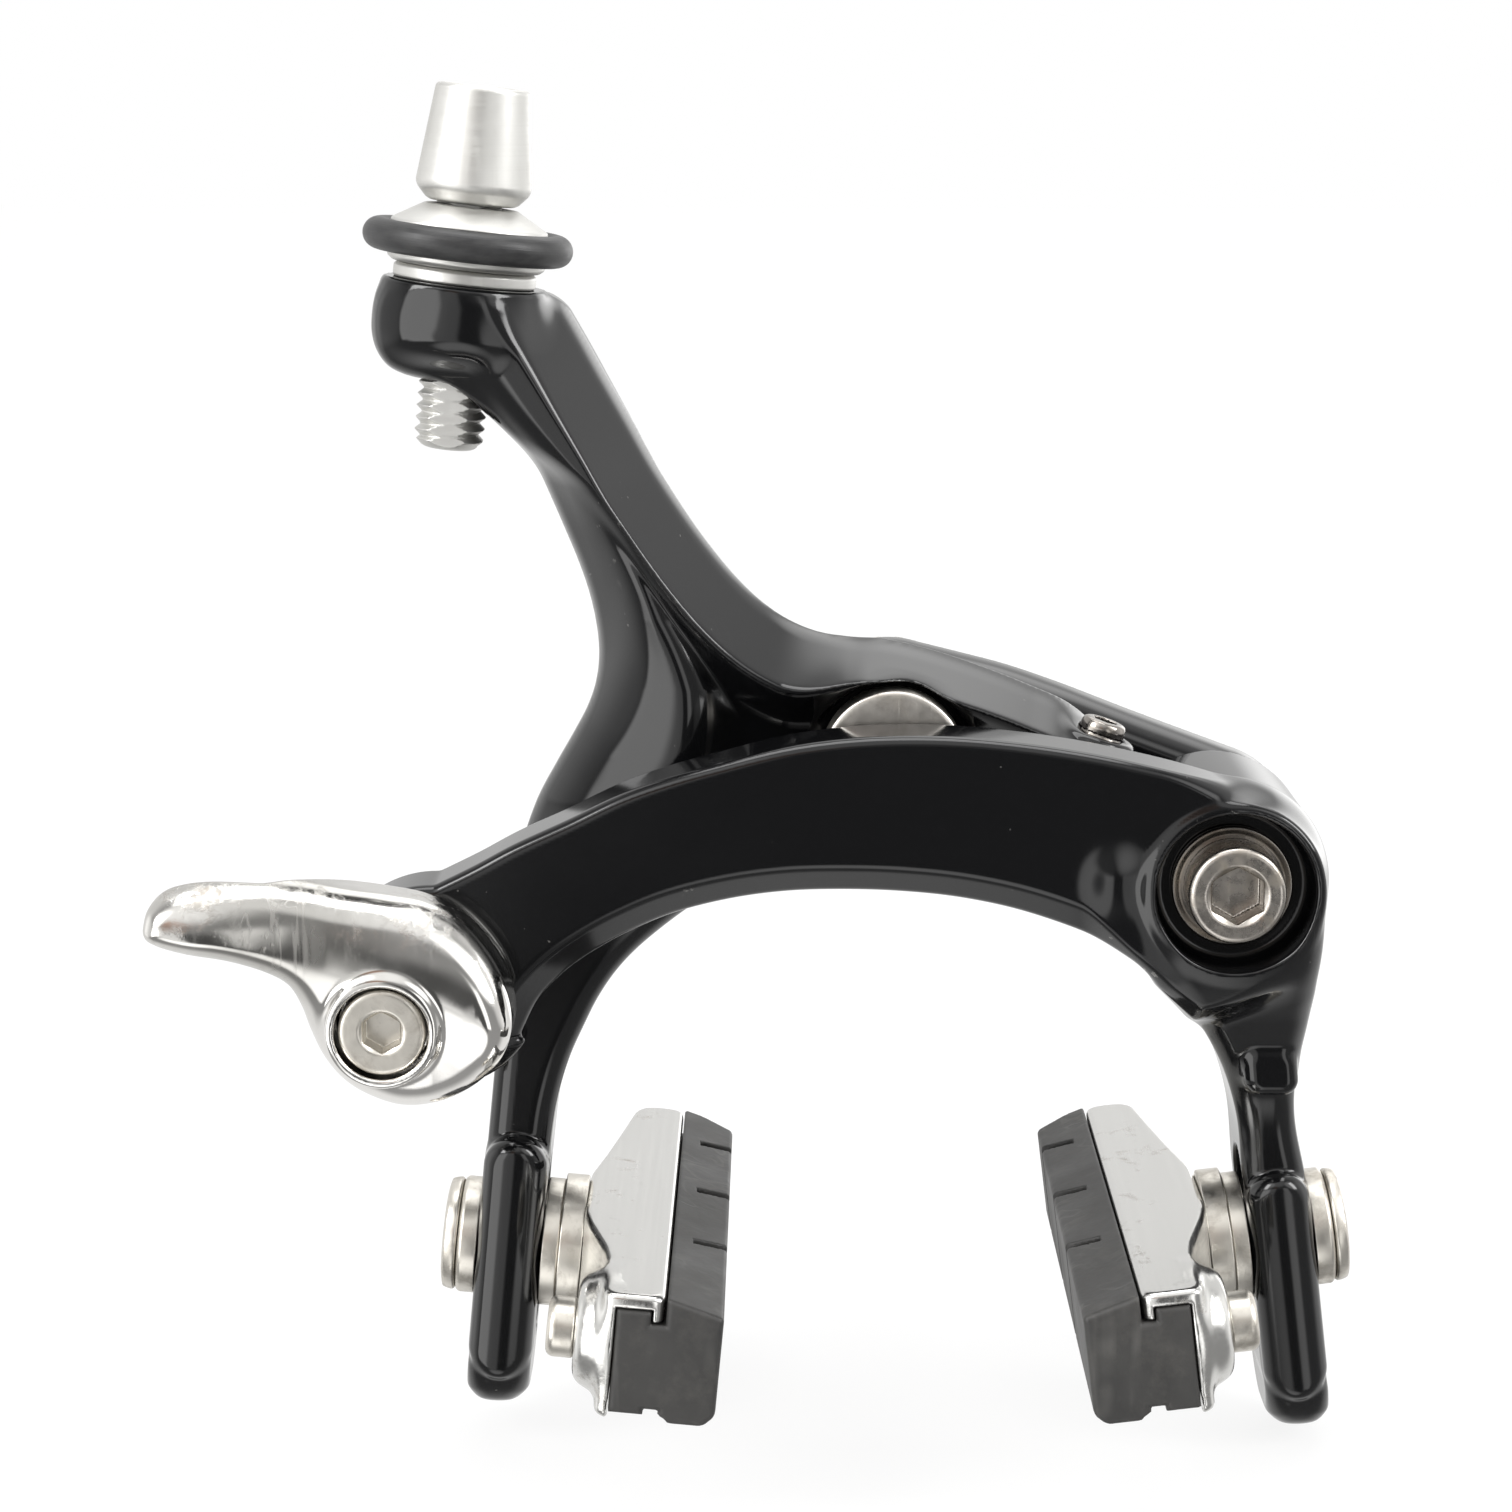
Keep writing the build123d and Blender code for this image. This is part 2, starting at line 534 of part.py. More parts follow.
with BuildPart() as centring_screw:
    with BuildSketch(Plane(origin=SYNC_ORIGIN, x_dir=(ACROSS[1], 0, -ACROSS[0]),
                           z_dir=(0, -1, 0))):
        with BuildLine():
            Polyline((0, SCREW_TOP), (1.7, SCREW_TOP), (1.98, 8.0), (1.98, 2.2),
                     (SCREW_TIP_R, SCREW_TIP_CENTRE))
            # ball tip
            ThreePointArc((SCREW_TIP_R, SCREW_TIP_CENTRE),
                          (SCREW_TIP_R * math.sin(math.radians(45)),
                           SCREW_TIP_CENTRE - SCREW_TIP_R * math.cos(math.radians(45))),
                          (0, SYNC_GAP))
            Line((0, SYNC_GAP), (0, SCREW_TOP))
        make_face()
    revolve(axis=Axis(SYNC_ORIGIN, SYNC_DIR))
    with BuildSketch(Plane(origin=(SYNC_X + SCREW_TOP * ACROSS[0], PAD_Y,
                                   SYNC_Z + SCREW_TOP * ACROSS[1]),
                           x_dir=(0, 1, 0), z_dir=SYNC_DIR)):
        RegularPolygon(hex_radius(2), 6)
    extrude(amount=-2.0, mode=Mode.SUBTRACT)
save(centring_screw, "centring_screw")

# ------------------------------------------------------------ return spring
with BuildPart() as return_spring:
    with BuildLine():
        Spline(SPRING_ROOT, (-9.6, -4.7, -11.0), (-16.0, -4.9, -13.2),
               (-23.4, -5.2, -17.2), (-28.3, -5.3, -24.8),
               tangents=[(-1, 0, -SPRING_SLOPE), (-0.35, 0, -1)])
    with BuildSketch(Plane(origin=SPRING_ROOT, z_dir=(-1, 0, -SPRING_SLOPE))):
        Circle(SPRING_R)
    sweep()
save(return_spring, "return_spring")

# plastic shoe on the arm that the spring bears on: a button and its pin
with BuildPart() as spring_shoe:
    with BuildSketch(front(4.0)):
        with Locations((SHOE_X, SHOE_Z)):
            Circle(2.1)
    extrude(amount=4.0)
    with BuildSketch(front(7.0)):
        with Locations((SHOE_X, SHOE_Z)):
            Circle(1.25)
    extrude(amount=4.5)
    chamfer(spring_shoe.faces().sort_by(Axis.Y)[-1].edges(), 0.5)
save(spring_shoe, "spring_shoe")

# ----------------------------------------------------------------- adjuster
# Profiles are (radius, height along the axis from the grip ring).
BARREL_BOTTOM = -17.4
CABLE_BORE_R = 0.9
# 1 mm pitch ridges standing in for the thread
BARREL_THREAD = [point for height in range(-17, 3)
                 for point in ((THREAD_ROOT_R, height), (THREAD_CREST_R, height + 0.4),
                               (THREAD_CREST_R, height + 0.55))]
BARREL_CAP = [(THREAD_CREST_R, 3.2), (3.75, 3.2), (4.75, 4.5), (4.8, 5.2), (3.98, 12.3),
              (3.6, 12.9), (2.7, 12.9), (2.7, 4.6), (CABLE_BORE_R, 4.2)]

with BuildPart() as adjuster_barrel:
    with BuildSketch(ADJUSTER_AXIAL):
        with BuildLine():
            Polyline((CABLE_BORE_R, BARREL_BOTTOM), (2.2, BARREL_BOTTOM),
                     *BARREL_THREAD, *BARREL_CAP, close=True)
        make_face()
    revolve(axis=ADJUSTER_AXIS)
    # flats that keep the barrel from turning in the arm
    with BuildSketch(adjuster_plane(-18)):
        with Locations((0, 4.45), (0, -4.45)):
            Rectangle(8, 4)
    extrude(amount=21.0, mode=Mode.SUBTRACT)
save(adjuster_barrel, "adjuster_barrel")

with BuildPart() as adjuster_nut:
    with BuildSketch(ADJUSTER_AXIAL):
        with BuildLine():
            Polyline((NUT_BORE_R, -2.05), (6.2, -2.05), (6.6, -1.7), (6.6, -1.15))
            # groove for the O-ring
            ThreePointArc((6.6, -1.15), (6.15, 0), (6.6, 1.15))
            Polyline((6.6, 1.15), (6.45, 1.45), (3.9, 3.0), (NUT_BORE_R, 3.0),
                     (NUT_BORE_R, -2.05))
        make_face()
    revolve(axis=ADJUSTER_AXIS)
save(adjuster_nut, "adjuster_nut")

with BuildPart() as adjuster_o_ring:
    with BuildSketch(ADJUSTER_AXIAL):
        with Locations((7.5, 0)):
            Circle(1.33)
    revolve(axis=ADJUSTER_AXIS)
save(adjuster_o_ring, "adjuster_o_ring")

make_turned("adjuster_seat", ADJUSTER_AXIAL, ADJUSTER_AXIS,
            [(3.3, -3.38), (5.9, -3.38), (6.0, -3.2), (6.0, -2.4), (5.7, -2.12),
             (3.3, -2.12)])

# ------------------------------------------------------------ quick release
# closed front-view outline of the lever, (X, Z), from the handle tip
LEVER_OUTLINE = [
    (-60.9, -11.0), (-60.2, -9.2), (-56.8, -8.0), (-51.1, -7.3), (-45.0, -8.1),
    (-39.0, -8.9), (-35.0, -11.2), (-32.0, -15.2), (-31.4, -19.4), (-33.6, -23.5),
    (-37.4, -26.2), (-41.4, -26.8), (-45.0, -25.0), (-47.6, -21.8), (-48.8, -17.5),
    (-50.7, -15.6), (-55.4, -14.1), (-59.7, -13.4)]
LEVER_BACK = 27.3

with BuildPart() as qr_lever:
    with BuildSketch(front(LEVER_BACK)):
        with BuildLine():
            Spline(*LEVER_OUTLINE, periodic=True)
        make_face()
    extrude(amount=9.4)
    # seen from above, the handle sweeps forward towards its tip
    with BuildSketch(Plane.XY.offset(-30)):
        with BuildLine():
            Polyline((-62, -33.6), (-62, -38.5), (-50, -37.4), (-45, -36.2),
                     (-31, -34.4), (-31, -LEVER_BACK), (-46.5, -LEVER_BACK),
                     (-52, -31.4), close=True)
        make_face()
    extrude(amount=30, mode=Mode.INTERSECT)
    # front edges
    fillet_largest(qr_lever, lambda edge: edge.length > 4 and edge.center().Y < -33,
                   (1.3, 0.9, 0.6))
    # eccentric drum turning in the ring of the arm
    with BuildSketch(front(20.25)):
        with Locations((CAM_X, CAM_Z)):
            Circle(CAM_R)
    extrude(amount=7.4)
    # raised collar around the anchor bolt, its head recess and bore
    with BuildSketch(front(30)):
        with Locations((ANCHOR_X, ANCHOR_Z)):
            Circle(4.75)
    extrude(amount=6.2)
    with BuildSketch(front(32.2)):
        with Locations((ANCHOR_X, ANCHOR_Z)):
            Circle(3.9)
    extrude(amount=6, mode=Mode.SUBTRACT)
    with BuildSketch(front(15)):
        with Locations((ANCHOR_X, ANCHOR_Z)):
            Circle(ANCHOR_BOLT_R + RUN)
    extrude(amount=25, mode=Mode.SUBTRACT)
save(qr_lever, "qr_lever")

make_bolt("anchor_bolt", ANCHOR_X, ANCHOR_Z,
          [(0, -16.8), (2.1, -16.8), (ANCHOR_BOLT_R, -17.2), (ANCHOR_BOLT_R, -32.25),
           (3.6, -32.25), (3.6, -35.3), (3.1, -35.8), (0, -35.8)],
          socket_flats=3, socket_depth=2.4)

# clamp plate behind the arch, grooved for the cable
with BuildPart() as clamp_plate:
    with BuildSketch(front(17.35)):
        with BuildLine():
            FilletPolyline((-46.8, -14.2), (-37.6, -14.2), (-35.9, -20.0),
                           (-35.9, -28.4), (-42.5, -28.4), (-46.8, -22.5),
                           radius=1.2, close=True)
        make_face()
    extrude(amount=2.8)
    # cable groove, parallel to the adjuster axis
    with BuildSketch(Plane(origin=(ANCHOR_X - 3.9, -20.35, ANCHOR_Z),
                           x_dir=(1, 0, 0), z_dir=ADJUSTER_DIR).offset(-14)):
        Circle(0.8)
    extrude(amount=28, mode=Mode.SUBTRACT)
    with BuildSketch(front(15)):
        with Locations((ANCHOR_X, ANCHOR_Z)):
            Circle(ANCHOR_BOLT_R + 0.02)
    extrude(amount=8, mode=Mode.SUBTRACT)
save(clamp_plate, "clamp_plate")

# ----------------------------------------------------------------- pad sets
# Profiles are (inward from the strap's middle, radius or height up the strap).
WASHER_BORE_R = 3.1
STRAP_GAP = 0.08        # between a washer and the strap
BOLT_HEAD_UNDER = -HALF_STRAP - 1.85
BOLT_HEAD_OUTER = -HALF_STRAP - 4.7
BOLT_END = 9.6


def make_pad_bolt(pad):
    with BuildPart() as pad_bolt:
        with BuildSketch(pad.axial()):
            with BuildLine():
                Polyline((BOLT_END, 0), (BOLT_END, 2.5), (9.1, PAD_BOLT_R),
                         (BOLT_HEAD_UNDER, PAD_BOLT_R), (BOLT_HEAD_UNDER, 4.9),
                         (-HALF_STRAP - 3.2, 4.9))
                # domed head
                ThreePointArc((-HALF_STRAP - 3.2, 4.9), (-HALF_STRAP - 4.35, 3.4),
                              (BOLT_HEAD_OUTER, 1.9))
                Polyline((BOLT_HEAD_OUTER, 1.9), (BOLT_HEAD_OUTER, 0), (BOLT_END, 0))
            make_face()
        revolve(axis=pad.axis())
        with BuildSketch(pad.facing_in(BOLT_HEAD_OUTER)):
            RegularPolygon(hex_radius(4), 6)
        extrude(amount=2.4, mode=Mode.SUBTRACT)
    save(pad_bolt, pad.name + "_pad_bolt")


def make_outer_washer(pad):
    face = -HALF_STRAP - STRAP_GAP
    outer = -HALF_STRAP - 1.8
    make_turned(pad.name + "_outer_washer", pad.axial(), pad.axis(),
                [(face, WASHER_BORE_R), (face, 5.1), (-HALF_STRAP - 1.5, 5.1),
                 (outer, 4.8), (outer, WASHER_BORE_R)])


# the convex and concave washers are a pair that lets the pad be angled
def make_convex_washer(pad):
    face = HALF_STRAP + STRAP_GAP
    with BuildPart() as convex_washer:
        with BuildSketch(pad.axial()):
            with BuildLine():
                Polyline((face, WASHER_BORE_R), (face, 5.6), (HALF_STRAP + 1.5, 5.6))
                ThreePointArc((HALF_STRAP + 1.5, 5.6), (HALF_STRAP + 2.15, 4.5),
                              (HALF_STRAP + 2.5, WASHER_BORE_R))
                Line((HALF_STRAP + 2.5, WASHER_BORE_R), (face, WASHER_BORE_R))
            make_face()
        revolve(axis=pad.axis())
    save(convex_washer, pad.name + "_convex_washer")


def make_concave_washer(pad):
    back = HALF_STRAP + 3.6
    rim = HALF_STRAP + 1.55
    with BuildPart() as concave_washer:
        with BuildSketch(pad.axial()):
            with BuildLine():
                Polyline((HALF_STRAP + 2.54, WASHER_BORE_R), (back, WASHER_BORE_R),
                         (back, 6.1), (rim, 6.1), (rim, 5.6))
                ThreePointArc((rim, 5.6), (HALF_STRAP + 2.19, 4.5),
                              (HALF_STRAP + 2.54, WASHER_BORE_R))
            make_face()
        revolve(axis=pad.axis())
    save(concave_washer, pad.name + "_concave_washer")


HOLDER_BACK = HALF_STRAP + 3.66     # outer face of the holder's central boss
# plan shape, (inward, rearward): central boss tapering to thin ends
HOLDER_PLAN = [
    (HOLDER_BACK, 7), (HOLDER_BACK, -6), (8.2, -12), (8.9, -16), (8.9, -26.4),
    (14.1, -26.4), (14.1, 26.8), (10.4, 26.8), (9.6, 25.6), (8.6, 19.0), (7.5, 11.0)]
HOLDER_CHANNEL = [
    (10.1, 3.95), (13.0, 3.95), (13.25, 2.85), (15.0, 2.85), (15.0, -4.65),
    (13.25, -4.65), (13.0, -5.05), (10.1, -5.05)]


def make_pad_holder(pad):
    with BuildPart() as pad_holder:
        with BuildSketch(pad.plan(-5.7)):
            with BuildLine():
                Polyline(*pad.plan_points(HOLDER_PLAN), close=True)
            make_face()
        extrude(amount=10.9)
        # round boss for the retaining screw
        with BuildSketch(pad.facing_in(6.85, PAD_SCREW_Y)):
            Circle(4.5)
        extrude(amount=2.2)
        # channel for the rubber, open at both ends and at the face
        with BuildSketch(pad.axial(PAD_MID_Y).offset(-30)):
            with BuildLine():
                Polyline(*HOLDER_CHANNEL, close=True)
            make_face()
        extrude(amount=60, mode=Mode.SUBTRACT)
        # pad bolt bore
        with BuildSketch(pad.facing_in(4)):
            Circle(PAD_BOLT_R + 0.03)
        extrude(amount=5.72, mode=Mode.SUBTRACT)
        # retaining screw bore
        with BuildSketch(pad.facing_in(4, PAD_SCREW_Y)):
            Circle(1.55)
        extrude(amount=6.3, mode=Mode.SUBTRACT)
    save(pad_holder, pad.name + "_pad_holder")


RUBBER_SECTION = [
    (10.15, 3.9), (12.9, 3.9), (13.2, 2.75), (14.2, 2.75), (14.2, 5.1), (18.9, 3.85),
    (18.9, -4.4), (18.3, -5.0), (14.2, -5.6), (14.2, -4.55), (13.2, -4.55),
    (12.9, -5.0), (10.15, -5.0)]
GROOVE_PLACES = (-9.5, 4.5, 18.5)   # rearward of the pad bolt
# slanted water groove, (inward, rearward of its place)
GROOVE_PLAN = [(19.5, -0.2), (19.5, 1.1), (15.9, -0.3), (15.9, -1.3)]


def make_pad_rubber(pad):
    with BuildPart() as pad_rubber:
        with BuildSketch(pad.axial(PAD_MID_Y).offset(-PAD_LEN / 2)):
            with BuildLine():
                Polyline(*RUBBER_SECTION, close=True)
            make_face()
        extrude(amount=PAD_LEN)
        # water grooves across the friction face
        for place in GROOVE_PLACES:
            groove = [(inward, place + rearward) for inward, rearward in GROOVE_PLAN]
            with BuildSketch(pad.plan(-8)):
                with BuildLine():
                    Polyline(*pad.plan_points(groove), close=True)
                make_face()
            extrude(amount=15, mode=Mode.SUBTRACT)
    save(pad_rubber, pad.name + "_pad_rubber")


def make_pad_screw(pad):
    head_outer = 4.5
    with BuildPart() as pad_screw:
        with BuildSketch(pad.axial(PAD_SCREW_Y)):
            with BuildLine():
                Polyline((9.9, 0), (9.9, 1.5), (6.8, 1.5), (6.8, 2.5), (5.0, 2.5),
                         (head_outer, 2.0), (head_outer, 0), close=True)
            make_face()
        revolve(axis=pad.axis(PAD_SCREW_Y))
        with BuildSketch(pad.facing_in(head_outer, PAD_SCREW_Y)):
            RegularPolygon(hex_radius(2), 6)
        extrude(amount=1.2, mode=Mode.SUBTRACT)
    save(pad_screw, pad.name + "_pad_screw")


for pad_side in (LEFT_PAD, RIGHT_PAD):
    make_pad_bolt(pad_side)
    make_outer_washer(pad_side)
    make_convex_washer(pad_side)
    make_concave_washer(pad_side)
    make_pad_holder(pad_side)
    make_pad_rubber(pad_side)
    make_pad_screw(pad_side)
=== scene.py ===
"""Dual-pivot bicycle rim brake on a studio floor.

Lengths are millimetres unless noted. X runs to the right seen from the front, the front
faces -Y and Z is up. The origin is on the centre bolt's axis, in the mounting face.
Each sculpted piece is a solid(x, y, z): a distance in mm, negative inside, that build()
turns into a mesh. In the solids, "ahead" is the distance in front of the mounting face.
"""
import math

import bpy
import numpy as np
import openvdb
from mathutils import Matrix, Vector
from numpy import hypot, maximum, minimum


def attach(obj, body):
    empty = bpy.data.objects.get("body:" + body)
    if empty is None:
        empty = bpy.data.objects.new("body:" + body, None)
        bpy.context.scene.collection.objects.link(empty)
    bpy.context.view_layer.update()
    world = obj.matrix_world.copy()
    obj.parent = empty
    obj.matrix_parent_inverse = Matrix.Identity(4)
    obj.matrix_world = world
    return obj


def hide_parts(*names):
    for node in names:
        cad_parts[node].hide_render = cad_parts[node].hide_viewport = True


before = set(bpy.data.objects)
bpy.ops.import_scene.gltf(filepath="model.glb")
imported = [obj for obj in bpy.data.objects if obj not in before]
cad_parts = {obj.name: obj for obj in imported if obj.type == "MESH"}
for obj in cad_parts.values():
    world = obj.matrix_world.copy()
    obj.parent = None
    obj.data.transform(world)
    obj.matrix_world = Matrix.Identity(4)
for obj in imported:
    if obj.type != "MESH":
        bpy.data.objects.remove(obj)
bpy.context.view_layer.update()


MM = 0.001

# ---- shared dimensions ----------------------------------------------------
SIDE_X, SIDE_Z = 28.1, -9.3            # side pivot
CAM_X, CAM_Z = -38.5, -17.9            # release cam
ANCHOR_X, ANCHOR_Z = -41.8, -19.1      # anchor bolt
AXIS_Y = -13.0                         # plane of the pad bolts, adjuster and centring screw
RUBBER_Y = -12.75                      # middle of the pad rubbers
FORWARD = (0, -1, 0)
LEAN = math.radians(6.6)               # adjuster axis, from +Z towards +X
ADJUSTER_AXIS = np.array([math.sin(LEAN), 0.0, math.cos(LEAN)])
ADJUSTER_CENTRE = np.array([-35.75, AXIS_Y, 43.3])

# bridge frame: u from the centre pivot to the side pivot, v square to it and upwards
SPAN = math.hypot(SIDE_X, SIDE_Z)
UX, UZ = SIDE_X / SPAN, SIDE_Z / SPAN
VX, VZ = -UZ, UX
SCREW_U = 16.6                         # centring screw

HALF_STRAP = 2.75                      # half the thickness of the arms' straps


def strap_frame(x, z, tilt_degrees, inward):
    """Pad bolt position, then unit vectors (x, z) inwards and up along the strap."""
    tilt = math.radians(tilt_degrees)
    return (x, z, np.array([inward * math.cos(tilt), -math.sin(tilt)]),
            np.array([inward * math.sin(tilt), math.cos(tilt)]))


STRAPS = {"left": strap_frame(-33.2, -43.9, 5.4, 1),
          "right": strap_frame(34.2, -43.1, 7.2, -1)}


def strap_point(side, inwards, upwards):
    x, z, inward, up = STRAPS[side]
    return (x + inwards * inward[0] + upwards * up[0],
            z + inwards * inward[1] + upwards * up[1])


def strap_local(side, x, z):
    """The reverse of strap_point."""
    bolt_x, bolt_z, inward, up = STRAPS[side]
    return ((x - bolt_x) * inward[0] + (z - bolt_z) * inward[1],
            (x - bolt_x) * up[0] + (z - bolt_z) * up[1])


def bridge_point(u, v):
    return (u * UX + v * VX, u * UZ + v * VZ)


def bridge_local(x, z):
    """The reverse of bridge_point."""
    return x * UX + z * UZ, x * VX + z * VZ


def adjuster_local(x, y, z):
    """Distance along the adjuster axis, distance from it, and offset across it in XZ."""
    dx, dz = x - ADJUSTER_CENTRE[0], z - ADJUSTER_CENTRE[2]
    along = dx * ADJUSTER_AXIS[0] + dz * ADJUSTER_AXIS[2]
    offset = dx * ADJUSTER_AXIS[2] - dz * ADJUSTER_AXIS[0]
    return along, hypot(offset, y - AXIS_Y), offset


# ---- combining solids -----------------------------------------------------
def soft_min(one, other, soft):
    """Smooth union."""
    share = np.clip(0.5 + 0.5 * (other - one) / soft, 0, 1)
    return other + (one - other) * share - soft * share * (1 - share)


def soft_max(one, other, soft):
    return -soft_min(-one, -other, soft)


def meet(one, other, edge):
    """Intersection with an edge of radius edge, which may vary."""
    return (minimum(maximum(one, other), -edge)
            + hypot(maximum(one + edge, 0), maximum(other + edge, 0)))


def cut(solid, tool, edge):
    """solid minus tool, with a rounded edge."""
    return meet(solid, -tool, edge)


def drill(solid, tool):
    """solid minus tool, with a sharp edge."""
    return maximum(solid, -tool)


def ramp(value, start, end):
    t = np.clip((value - start) / (end - start), 0, 1)
    return t * t * (3 - 2 * t)


# ---- plane shapes ---------------------------------------------------------
def disc(x, z, centre_x, centre_z, radius):
    return hypot(x - centre_x, z - centre_z) - radius


def rounded_box(x, z, half_x, half_z, corner):
    dx, dz = np.abs(x) - (half_x - corner), np.abs(z) - (half_z - corner)
    return hypot(maximum(dx, 0), maximum(dz, 0)) + minimum(maximum(dx, dz), 0) - corner


def hexagon(x, z, half_flats):
    x, z = np.abs(x), np.abs(z)
    return maximum(x, x * 0.5 + z * 0.8660254) - half_flats


def thread_wave(along, angle, pitch=1.0):
    """Triangle wave from 0 to 1 that winds round the axis."""
    return np.abs(2 * ((along / pitch + angle / (2 * math.pi)) % 1.0) - 1)


def curve(points, steps=14):
    """Smooth open curve through points (centripetal Catmull-Rom)."""
    p = np.array(points, float)
    ends = np.vstack([2 * p[0] - p[1], p, 2 * p[-1] - p[-2]])
    out = []
    for before, start, end, after in zip(ends, ends[1:], ends[2:], ends[3:]):
        gap1, gap2, gap3 = (max(np.linalg.norm(step), 1e-6) ** 0.5
                            for step in (start - before, end - start, after - end))
        slope1 = (start - before) / gap1 - (end - before) / (gap1 + gap2) + (end - start) / gap2
        slope2 = (end - start) / gap2 - (after - start) / (gap2 + gap3) + (after - end) / gap3
        slope1, slope2 = slope1 * gap2, slope2 * gap2
        for j in range(steps):
            t = j / steps
            t2, t3 = t * t, t * t * t
            out.append((2 * t3 - 3 * t2 + 1) * start + (t3 - 2 * t2 + t) * slope1
                       + (-2 * t3 + 3 * t2) * end + (t3 - t2) * slope2)
    out.append(p[-1])
    return np.array(out)


def arc(centre, radius, start, end, count=40):
    """Points on a circle; angles in degrees."""
    angle = np.radians(np.linspace(start, end, count))
    return np.stack([centre[0] + radius * np.cos(angle), centre[1] + radius * np.sin(angle)], 1)


def blurred(grid, sigma):
    reach = int(3 * sigma) + 1
    kernel = np.exp(-0.5 * (np.arange(-reach, reach + 1) / sigma) ** 2)
    kernel /= kernel.sum()
    grid = np.pad(grid, reach, mode="edge")
    taps = range(2 * reach + 1)
    grid = sum(kernel[i] * grid[i:i + grid.shape[0] - 2 * reach, :] for i in taps)
    return sum(kernel[i] * grid[:, i:i + grid.shape[1] - 2 * reach] for i in taps)


def cubic_weights(t):
    return (-0.5 * t + t * t - 0.5 * t ** 3, 1 - 2.5 * t * t + 1.5 * t ** 3,
            0.5 * t + 2 * t * t - 1.5 * t ** 3, -0.5 * t * t + 0.5 * t ** 3)


class Field:
    """Distance to a plane polyline on a grid, signed if it is closed, with cubic lookup."""

    def __init__(self, outline, closed=True, step=0.25, margin=6.0, reach=14.0, soft=0.7):
        points = np.array(outline, float)
        if closed:
            points = np.vstack([points, points[:1]])
        starts, ends = points[:-1], points[1:]
        self.step = step
        self.low = points.min(0) - margin
        self.size = np.ceil((points.max(0) + margin - self.low) / step).astype(int) + 1
        grid_x = self.low[0] + np.arange(self.size[0]) * step
        grid_z = self.low[1] + np.arange(self.size[1]) * step
        squared = np.full(self.size, reach ** 2)
        for start, end in zip(starts, ends):
            along = end - start
            length2 = along @ along
            if length2 < 1e-12:
                continue
            first = np.floor((minimum(start, end) - reach - self.low) / step).astype(int)
            last = np.ceil((maximum(start, end) + reach - self.low) / step).astype(int) + 1
            first, last = maximum(first, 0), minimum(last, self.size)
            dx = grid_x[first[0]:last[0], None] - start[0]
            dz = grid_z[None, first[1]:last[1]] - start[1]
            t = np.clip((dx * along[0] + dz * along[1]) / length2, 0, 1)
            window = squared[first[0]:last[0], first[1]:last[1]]
            minimum(window, (dx - t * along[0]) ** 2 + (dz - t * along[1]) ** 2, out=window)
        distance = np.sqrt(squared)
        if closed:
            inside = np.zeros(self.size, bool)
            for k in range(self.size[1]):
                z = grid_z[k] + 1e-7    # keeps the scan line off the points
                hit = (starts[:, 1] > z) != (ends[:, 1] > z)
                start, end = starts[hit], ends[hit]
                crossings = np.sort(start[:, 0] + (z - start[:, 1]) / (end[:, 1] - start[:, 1])
                                    * (end[:, 0] - start[:, 0]))
                inside[:, k] = np.searchsorted(crossings, grid_x) % 2 == 1
            distance = np.where(inside, -distance, distance)
        self.distance = blurred(distance, soft) if soft else distance

    def __call__(self, x, z):
        x, z = np.broadcast_arrays(x, z)
        column = np.clip((x - self.low[0]) / self.step, 1, self.size[0] - 2.001)
        row = np.clip((z - self.low[1]) / self.step, 1, self.size[1] - 2.001)
        i, k = column.astype(int), row.astype(int)
        weights_x, weights_z = cubic_weights(column - i), cubic_weights(row - k)
        return sum(weights_x[a] * sum(weights_z[b] * self.distance[i + a - 1, k + b - 1]
                                      for b in range(4)) for a in range(4))


# ---- making objects -------------------------------------------------------
# moving bodies and the CAD nodes each one carries
BODIES = {
    "bridge": "bracket centre_bolt centre_bush centre_thrust_washer mount_washer "
              "side_pivot_bolt side_pivot_washer side_bush return_spring",
    "adjuster_arm": "y_arm adjuster_seat spring_shoe",
    "arch_arm": "c_arm",
    "release_lever": "qr_lever",
    "cable_anchor": "anchor_bolt clamp_plate",
    "grip_nut": "adjuster_nut adjuster_o_ring",
    "barrel": "adjuster_barrel",
    "centring_screw": "centring_screw",
}
for side in STRAPS:
    BODIES[side + "_pad_bolt_stack"] = f"{side}_pad_bolt {side}_outer_washer {side}_convex_washer"
    BODIES[side + "_pad"] = (f"{side}_concave_washer {side}_pad_holder "
                             f"{side}_pad_rubber {side}_pad_screw")
BODY_OF = {node: body for body, nodes in BODIES.items() for node in nodes.split()}


def add_object(name, data):
    obj = bpy.data.objects.new(name, data)
    bpy.context.scene.collection.objects.link(obj)
    return obj


def finish_piece(obj, node, material):
    """The piece stands in for this CAD node and is carried by its body."""
    obj.data.materials.append(material)
    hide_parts(node)
    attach(obj, BODY_OF[node])
    slot = material.name.split(".")[0]


def smooth_mesh(name, vertices, quads, normals=None):
    mesh = bpy.data.meshes.new(name)
    mesh.vertices.add(len(vertices))
    mesh.vertices.foreach_set("co", (vertices * MM).astype(np.float32).ravel())
    mesh.loops.add(quads.size)
    mesh.polygons.add(len(quads))
    mesh.loops.foreach_set("vertex_index", quads.astype(np.int32).ravel())
    mesh.polygons.foreach_set("loop_start", np.arange(0, quads.size, 4, dtype=np.int32))
    mesh.polygons.foreach_set("loop_total", np.full(len(quads), 4, np.int32))
    mesh.update(calc_edges=True)
    mesh.validate()
    mesh.polygons.foreach_set("use_smooth", np.ones(len(mesh.polygons), bool))
    if normals is not None and len(mesh.vertices) == len(normals):
        mesh.normals_split_custom_set_from_vertices(normals.tolist())
    return add_object(name, mesh)


